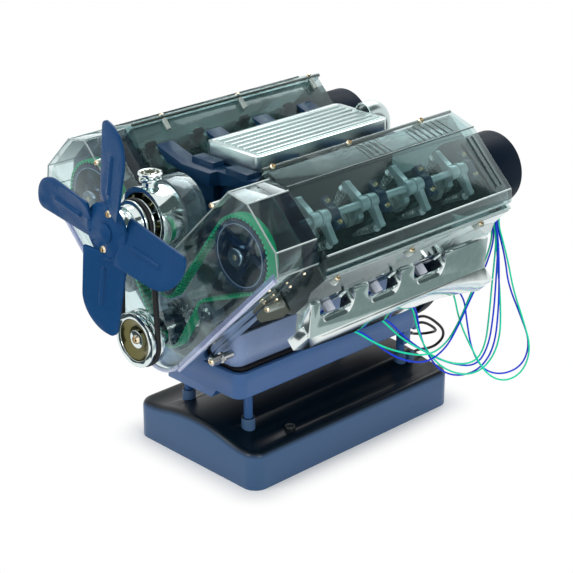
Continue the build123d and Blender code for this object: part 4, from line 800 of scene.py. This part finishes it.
cover_ends = (-105.5, 95.5)
rail_ends = (-105, 95)
cover_top_w = 160
seam_u = -23
rib_offsets = (-16, 29)
rib_rows = (82, 88)
flange_spot = (-44.8, 147.4)
rail_spots = ((34.0, 159.6), (41.4, 152.4), (45.0, 148.6), (45.5, 145.2))
groove_low = (-41, 150.6)
groove_high = (-25, 159)
groove_slant = 1.5
groove_rows = (-14.5, -8.5, -2.5, 3.5, 40.5, 47, 53.5, 60, 66.5, 73)
post_rows = {1: (-96.7, -19.0, 60.0), -1: (-75, 5, 85)}
post_foot = (-44.2, 136.5)
post_top = (-44.6, 149)
for name, side in sides.items():
    dress(f"rocker_cover_{name}", cover_plastic, edge=0.6)
    grooves = [[bank(side, *groove_low, y), bank(side, *groove_high, y + groove_slant)] for y in groove_rows]
    trim(f"cover_grooves_{name}", grooves, groove_plastic, radius=0.45)
    trim(f"cover_flange_{name}", [bank_row(side, *flange_spot, cover_ends)], flange_plastic, radius=1.2)
    ribs = [[bank(side, u, cover_top_w, y) for u in rib_offsets] for y in rib_rows]
    seam = bank_row(side, seam_u, cover_top_w, cover_ends)
    trim(f"cover_seams_{name}", [seam] + ribs, groove_plastic, radius=0.6)
    rails = [bank_row(side, *spot, rail_ends) for spot in rail_spots]
    # Painted highlight lines along the outer flange.
    trim(f"cover_highlight_rails_{name}", rails, highlight_rail_glaze, radius=0.8)
    pins(f"cover_posts_{name}", bank_row(side, *post_foot, post_rows[side]), [outwards[side]],
         radius=2.2, height=9.5, finish=boss_plastic)
    screws(f"cover_post_screws_{name}", bank_row(side, *post_top, post_rows[side]), [outwards[side]],
           radius=2.3, height=1.4)


# Belt drive: dark toothed wheels whose bright edges are a painted highlight ring, three smooth idlers, and a
# green belt with square teeth on its inner side. A steel sleeve and a screw hold each camshaft's wheel.
def lathe(name, profile, x, z, finish, body, upright=False, steps=40):
    """A turned ring or dish from its profile of radius and Y. Upright, Y and Z change places."""
    form = bmesh.new()
    rings = []
    for step in range(steps):
        turn = step * 2 * math.pi / steps
        places = [Vector((x + radius * math.cos(turn), y, z + radius * math.sin(turn))) * millimetre
                  for radius, y in profile]
        rings.append([form.verts.new(place.xzy if upright else place) for place in places])
    for here, after in zip(rings, rings[1:] + rings[:1]):
        for point in range(len(profile)):
            following = (point + 1) % len(profile)
            form.faces.new((here[point], here[following], after[following], after[point]))
    piece = place_object(name, closed_mesh(name, form, finish))
    piece.data.shade_smooth()
    piece.data.set_sharp_from_angle(angle=corner_angle)
    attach(piece, body)


def ring(x, y, z, radius, count, first=0.0):
    """Places evenly round a circle about the Y axis, from a first angle."""
    turns = [first + step * 2 * math.pi / count for step in range(count)]
    return [(x + radius * math.cos(turn), y, z + radius * math.sin(turn)) for turn in turns]


idler_plastic = moulded("idler_plastic", (0.05, 0.07, 0.10), rough=0.25, gloss=0.6)
# Painted highlight: a lighter blue ring on each dark wheel's edge.
wheel_rim_highlight = moulded("wheel_rim_highlight", (0.20, 0.28, 0.42), rough=0.2, gloss=0.6)
sleeve_metal = turned_metal("sleeve_metal", (0.42, 0.50, 0.60), rough=0.1)
cam_x = 82.73
cam_z = 206.73
wheel_edge_y = -137.6
wheel_edge_radius = 23.3
sleeve_front_y = -142.7
sleeve_profile = [(6.55, sleeve_front_y), (6.55, -134), (7.0, -134), (7.0, -142.2), (6.6, -142.9),
                  (2.6, -142.9), (2.6, sleeve_front_y)]
for name, side in sides.items():
    dress(f"cam_sprocket_{name}", navy_plastic, edge=0.0)
    edge = ring(side * cam_x, wheel_edge_y, cam_z, wheel_edge_radius, 48)
    trim(f"cam_wheel_edge_{name}", [edge + edge[:1]], wheel_rim_highlight, radius=0.3, body=f"cam_{name}")
    lathe(f"cam_sleeve_{name}", sleeve_profile, side * cam_x, cam_z, sleeve_metal, f"cam_{name}")
    pins(f"cam_screw_{name}", [(side * cam_x, sleeve_front_y, cam_z)], [forwards],
         radius=2.2, height=0.4, taper_share=0.9, finish=brass, body=f"cam_{name}")
dress("crank_sprocket", navy_plastic, edge=0.0)
for name in ("right", "left", "middle"):
    dress(f"belt_idler_{name}", idler_plastic, edge=0.2)

belt_rubber = moulded("belt_rubber", (0.001, 0.30, 0.13), rough=0.45, gloss=0.15)
tooth_rubber = moulded("tooth_rubber", (0.003, 0.48, 0.22), rough=0.4, gloss=0.3)
dress("timing_belt", belt_rubber, edge=0.0)
belt_middle_y = -132.5
belt_thickness = 2.4
loop_gap = 0.35
tooth_length = 9.0
tooth_height = 1.25
tooth_width = 1.9
steps_per_tooth = 8
cam_wheel_radius = 27.0
cam_wheel_teeth = 44
tooth_pitch = 2 * math.pi * cam_wheel_radius / cam_wheel_teeth
idler_radius = 9.5
# X, Z, radius and way round of each wheel, in the belt's order.
belt_wheels = [
    (0, crank_z, 13.5, 1), (46, 149, idler_radius, -1), (cam_x, cam_z, cam_wheel_radius, 1),
    (0, 161, idler_radius, -1), (-cam_x, cam_z, cam_wheel_radius, 1), (-46, 149, idler_radius, -1)]


def belt_path(wheels, level, step):
    """Places along a belt, a step apart, at a level above the toothed wheels' tips."""
    centres = [Vector((x, z)) for x, z, radius, way in wheels]
    reaches = [way * (radius + loop_gap + (level if way > 0 else belt_thickness - level))
               for x, z, radius, way in wheels]
    leave = []
    arrive = []
    for number, centre in enumerate(centres):
        following = (number + 1) % len(wheels)
        gap = centres[following] - centre
        ahead = gap.normalized()
        lift = (reaches[number] - reaches[following]) / gap.length
        normal = Vector((ahead.y, -ahead.x)) * math.sqrt(1 - lift * lift) + ahead * lift
        leave.append(centre + normal * reaches[number])
        arrive.append(centres[following] + normal * reaches[following])
    places = []
    for number, (centre, reach) in enumerate(zip(centres, reaches)):
        way = math.copysign(1, reach)
        first = arrive[number - 1] - centre
        last = leave[number] - centre
        sweep = (math.atan2(last.y, last.x) - math.atan2(first.y, first.x)) * way % (2 * math.pi)
        parts = max(1, round(sweep * abs(reach) / step))
        places += [centre + Matrix.Rotation(way * sweep * part / parts, 2) @ first for part in range(parts)]
        run = arrive[number] - leave[number]
        parts = max(1, round(run.length / step))
        places += [leave[number] + run * part / parts for part in range(parts)]
    return places


fine_path = belt_path(belt_wheels, tooth_height / 2, tooth_pitch / steps_per_tooth)
path_steps = [after - here for here, after in zip(fine_path, fine_path[1:] + fine_path[:1])]
path_length = sum(step.length for step in path_steps)
tooth_count = round(path_length / tooth_pitch)
tooth_places = []
tooth_axes = []
walked = 0.0
due = 0.0
for here, step in zip(fine_path, path_steps):
    ahead = step.normalized()
    while due < walked + step.length and len(tooth_places) < tooth_count:
        spot = here + ahead * (due - walked)
        tooth_places.append((spot.x, belt_middle_y, spot.y))
        tooth_axes.append((ahead.y, 0, -ahead.x))
        due += path_length / tooth_count
    walked += step.length

tooth = Pattern("belt_teeth", "Width", "Length", "Height")
tooth_size = tooth.node("ShaderNodeCombineXYZ", None, {
    "X": tooth.size("Width"), "Y": tooth.size("Length"), "Z": tooth.size("Height")})
belt_teeth = tooth.scatter(tooth.node("GeometryNodeMeshCube", None, {"Size": tooth_size}), "Y")
repeat("timing_belt_teeth", belt_teeth, guide_points(tooth_places, tooth_axes),
       {"Width": tooth_width * millimetre, "Length": tooth_length * millimetre,
        "Height": tooth_height * millimetre}, tooth_rubber, "engine")

# Timing cover: a very clear cover over the belt, with screw posts moulded inside and a thick
# rim. Where its cut edge catches the light, a painted highlight in pale violet lies on a rim bead and on a
# flat strip beside it.
case_plastic = glazed("case_plastic", (0.93, 0.98, 0.98), (0.14, 0.20, 0.25), haze=0.015, gleam=0.03)
# Painted highlight: the pale violet rim bead and the flat strip beside it.
rim_highlight_glaze = glazed("rim_highlight_glaze", (0.75, 0.77, 0.90), (0.55, 0.58, 0.86), haze=0.6, gleam=0.10)
lip_highlight_glaze = glazed("lip_highlight_glaze", (0.80, 0.84, 0.96), (0.50, 0.56, 0.86), haze=0.22, gleam=0.10)
case_front_y = -145.6
case_rear_y = -106.5
foot_radius = 31
rim_u = 34
rim_top_w = 146
lip_outline = [(29.6, 4), (33.9, 0), (33.9, 147), (29.6, 150)]
lip_front_y = -146.3
lip_rear_y = -146.05
dress("timing_cover", case_plastic, edge=0.6)
arc_step = math.radians(7.5)
foot_arc = [(foot_radius * math.sin(turn * arc_step), case_front_y,
             crank_z - foot_radius * math.cos(turn * arc_step)) for turn in range(6, -7, -1)]
right_rim = [bank(1, rim_u, w, case_front_y) for w in (rim_top_w, 0)]
left_rim = [bank(-1, rim_u, w, case_front_y) for w in (0, rim_top_w)]
# Painted highlight along the cut edge: a pale violet bead, then a flat pale violet strip.
trim("timing_cover_rim", [right_rim + foot_arc + left_rim], rim_highlight_glaze, radius=1.7)
prism("timing_cover_lip_highlight", lip_outline, lip_front_y, lip_rear_y, lip_highlight_glaze)

side_screw_u = 34.1
side_screw_spots = [(side_screw_u, w, y) for w, y in ((138, -112), (118, -112), (98, -112), (128, -139))]
side_axes = [(side * diagonal, 0, -diagonal) for side in sides.values() for spot in side_screw_spots]
pins("timing_cover_side_screws", both_banks(side_screw_spots), side_axes,
     radius=1.3, height=1.0, taper_share=0.8, finish=brass)

inner_corner = (-36, 60)
upper_corners = [(-36, 150), (-20, 161), (20, 161), (34, 150)]
edge_lines = []
for side in sides.values():
    edge_lines.append([bank(side, *corner, case_front_y) for corner in [inner_corner] + upper_corners])
    edge_lines += [bank_row(side, *corner, (case_front_y, case_rear_y)) for corner in upper_corners]
# Painted highlight lines along the timing cover's upper edges.
trim("timing_cover_edge_highlights", edge_lines, highlight_rail_glaze, radius=0.65)

backwards = (0, 1, 0)
case_post_spot = (-37.5, 129, -147)
case_posts = both_banks([case_post_spot])
pins("timing_cover_posts", case_posts, [backwards],
     radius=2.4, height=22, finish=boss_plastic)
screws("timing_cover_screws", case_posts, [forwards], radius=2.2, height=1.4)


# Plated parts: moulded plastic with a thin bright plating that follows its faint waves: the
# pulleys, pump ring, filler cap, exhaust manifolds, plenum lid and intake elbow.
def plated(name, colour, rough=0.06, wave_size=12, wave_depth=0.15):
    """Bright vacuum plating."""
    finish = Finish(name)
    waves = finish.cloud(wave_size * millimetre, 1.0)
    film = finish.cloud(5 * millimetre, 4.0)
    tone = finish.between(film, shade(colour, 0.92), shade(colour, 1.04))
    skin = finish.node("ShaderNodeBsdfPrincipled", None, {
        "Base Color": tone, "Metallic": 1.0, "Roughness": rough + 0.05 * film,
        "Normal": finish.relief(waves, wave_depth * millimetre, 0.4)})
    return finish.close(skin)


plating = plated("plating", (0.75, 0.84, 0.83))
log_plating = plated("log_plating", (0.78, 0.85, 0.84), rough=0.10, wave_size=30, wave_depth=1.0)
satin_plating = plated("satin_plating", (0.59, 0.70, 0.69), rough=0.26)
gold_plating = plated("gold_plating", (0.15, 0.14, 0.06), rough=0.14)
exhaust_pin_spot = (51.6, 111)
exhaust_pin_rows = (-73, -21, 30)
for node in ("pump_ring", "filler_cap", "fan_pulley", "crank_pulley"):
    dress(node, plating, edge=0.6)
for name, side in sides.items():
    dress(f"exhaust_manifold_{name}", log_plating, edge=0.9)
    exhaust_pins = bank_row(side, *exhaust_pin_spot, [y + side * bank_stagger for y in exhaust_pin_rows])
    pins(f"exhaust_pins_{name}", exhaust_pins, [outwards[side]],
         radius=1.5, height=8.5, taper_share=0.9, finish=plating)
for node in ("plenum_lid", "intake_elbow"):
    dress(node, satin_plating, edge=0.9)

dish_profile = [(16.4, -168.4), (16.4, -164.4), (5.5, -164.4), (5.5, -165.4), (10, -165.2), (15.4, -168.4)]
pulley_screw_y = -167
lathe("crank_pulley_dish", dish_profile, 0, crank_z, gold_plating, "crank")
screws("crank_pulley_screw", [(0, pulley_screw_y, crank_z)], [forwards], radius=3.8, height=1.8, body="crank")

upwards = (0, 0, 1)
cap_y = -148.6
cap_top_z = 250.9
cap_rim = [(4.96, 249.3), (8.4, 249.3), (9.3, 250.0), (8.9, 251.0), (7.9, 251.2), (6.6, 250.7),
           (4.96, cap_top_z)]
knurl_foot_z = 250.6
knurl_circle = 5.9
cap_knurls = [Vector(place).xzy for place in ring(0, knurl_foot_z, cap_y, knurl_circle, 10)]
lathe("filler_cap_rim", cap_rim, 0, cap_y, plating, "filler_cap", True)
pins("filler_cap_centre", [(0, cap_y, cap_top_z)], [upwards],
     radius=4.0, height=0.4, taper_share=0.9, finish=gold_plating, body="filler_cap")
pins("filler_cap_knurls", cap_knurls, [upwards],
     radius=0.8, height=0.9, taper_share=0.7, finish=gold_plating, body="filler_cap")

fan_z = 216.0
roller_y = -140
roller_circle = 14.5
pins("pump_rollers", ring(0, roller_y, fan_z, roller_circle, 8), [forwards],
     radius=3.6, height=6.0, taper_share=0.9, finish=gold_plating)

lid_top_z = 250
lid_corners = ((-25, -66), (25, -66), (25, 69), (-25, 69), (-25, -66))
lid_frame = [(x, y, lid_top_z) for x, y in lid_corners]
trim("lid_frame", [lid_frame], satin_plating, radius=0.7)

# Pump drum, induction and rear end: the drum and the plenum are clear housings, and the intake
# manifold, the bell housing and the round caps are navy mouldings. Six screws hold the bell.
drum_plastic = glazed("drum_plastic", (0.84, 0.90, 0.92), (0.16, 0.20, 0.23), haze=0.12)
plenum_plastic = glazed("plenum_plastic", (0.60, 0.68, 0.70), (0.06, 0.08, 0.09), haze=0.3)
manifold_plastic = moulded("manifold_plastic", (0.006, 0.032, 0.078), rough=0.3, gloss=0.2)
rear_plastic = moulded("rear_plastic", (0.002, 0.009, 0.020), rough=0.45, gloss=0.06)
bell_screw_y = 138
bell_screw_circle = 42
dress("pump_drum", drum_plastic, edge=0.5)
dress("plenum", plenum_plastic, edge=0.3)
dress("intake_manifold", manifold_plastic, edge=0.6)
dress("bell_housing", rear_plastic, edge=0.5)
dress("rear_caps", rear_plastic, edge=0.5)
screws("bell_screws", ring(0, bell_screw_y, crank_z, bell_screw_circle, 6, math.pi / 6), [backwards],
       radius=2.6, height=1.5)

# Spark plugs: pale moulded bodies pressed into the heads between the exhaust pipes. Each has
# a small lamp inside, which its two leads feed.
plug_plastic = moulded("plug_plastic", (0.55, 0.58, 0.66), rough=0.3, gloss=0.6)
dress("spark_plugs", plug_plastic, edge=0.3)

# Fan and fan belt: a blue moulded fan with a raised rib on each of its four blades, held to
# the pulley by two brass screws. A thin black rubber belt comes up to it from the crankshaft.
fan_plastic = moulded("fan_plastic", (0.007, 0.054, 0.160), rough=0.28, gloss=0.08)
fan_belt_rubber = moulded("fan_belt_rubber", (0.005, 0.005, 0.006), rough=0.5, gloss=0.4)
fan_screw_x = 4.0
fan_screw_y = -191
fan_screw_rise = 14.5
pip_y = -190.9
pip_circle = 19.5
dress("fan", fan_plastic, edge=0.5)
dress("fan_belt", fan_belt_rubber, edge=0.3)
fan_screw_places = [(way * fan_screw_x, fan_screw_y, fan_z + way * fan_screw_rise) for way in (1, -1)]
screws("fan_nuts", fan_screw_places, [forwards], radius=3.0, height=1.4, body="fan")
pins("fan_pips", ring(0, pip_y, fan_z, pip_circle, 16, math.pi / 16), [forwards],
     radius=0.7, height=0.6, taper_share=0.6, finish=fan_plastic, body="fan")
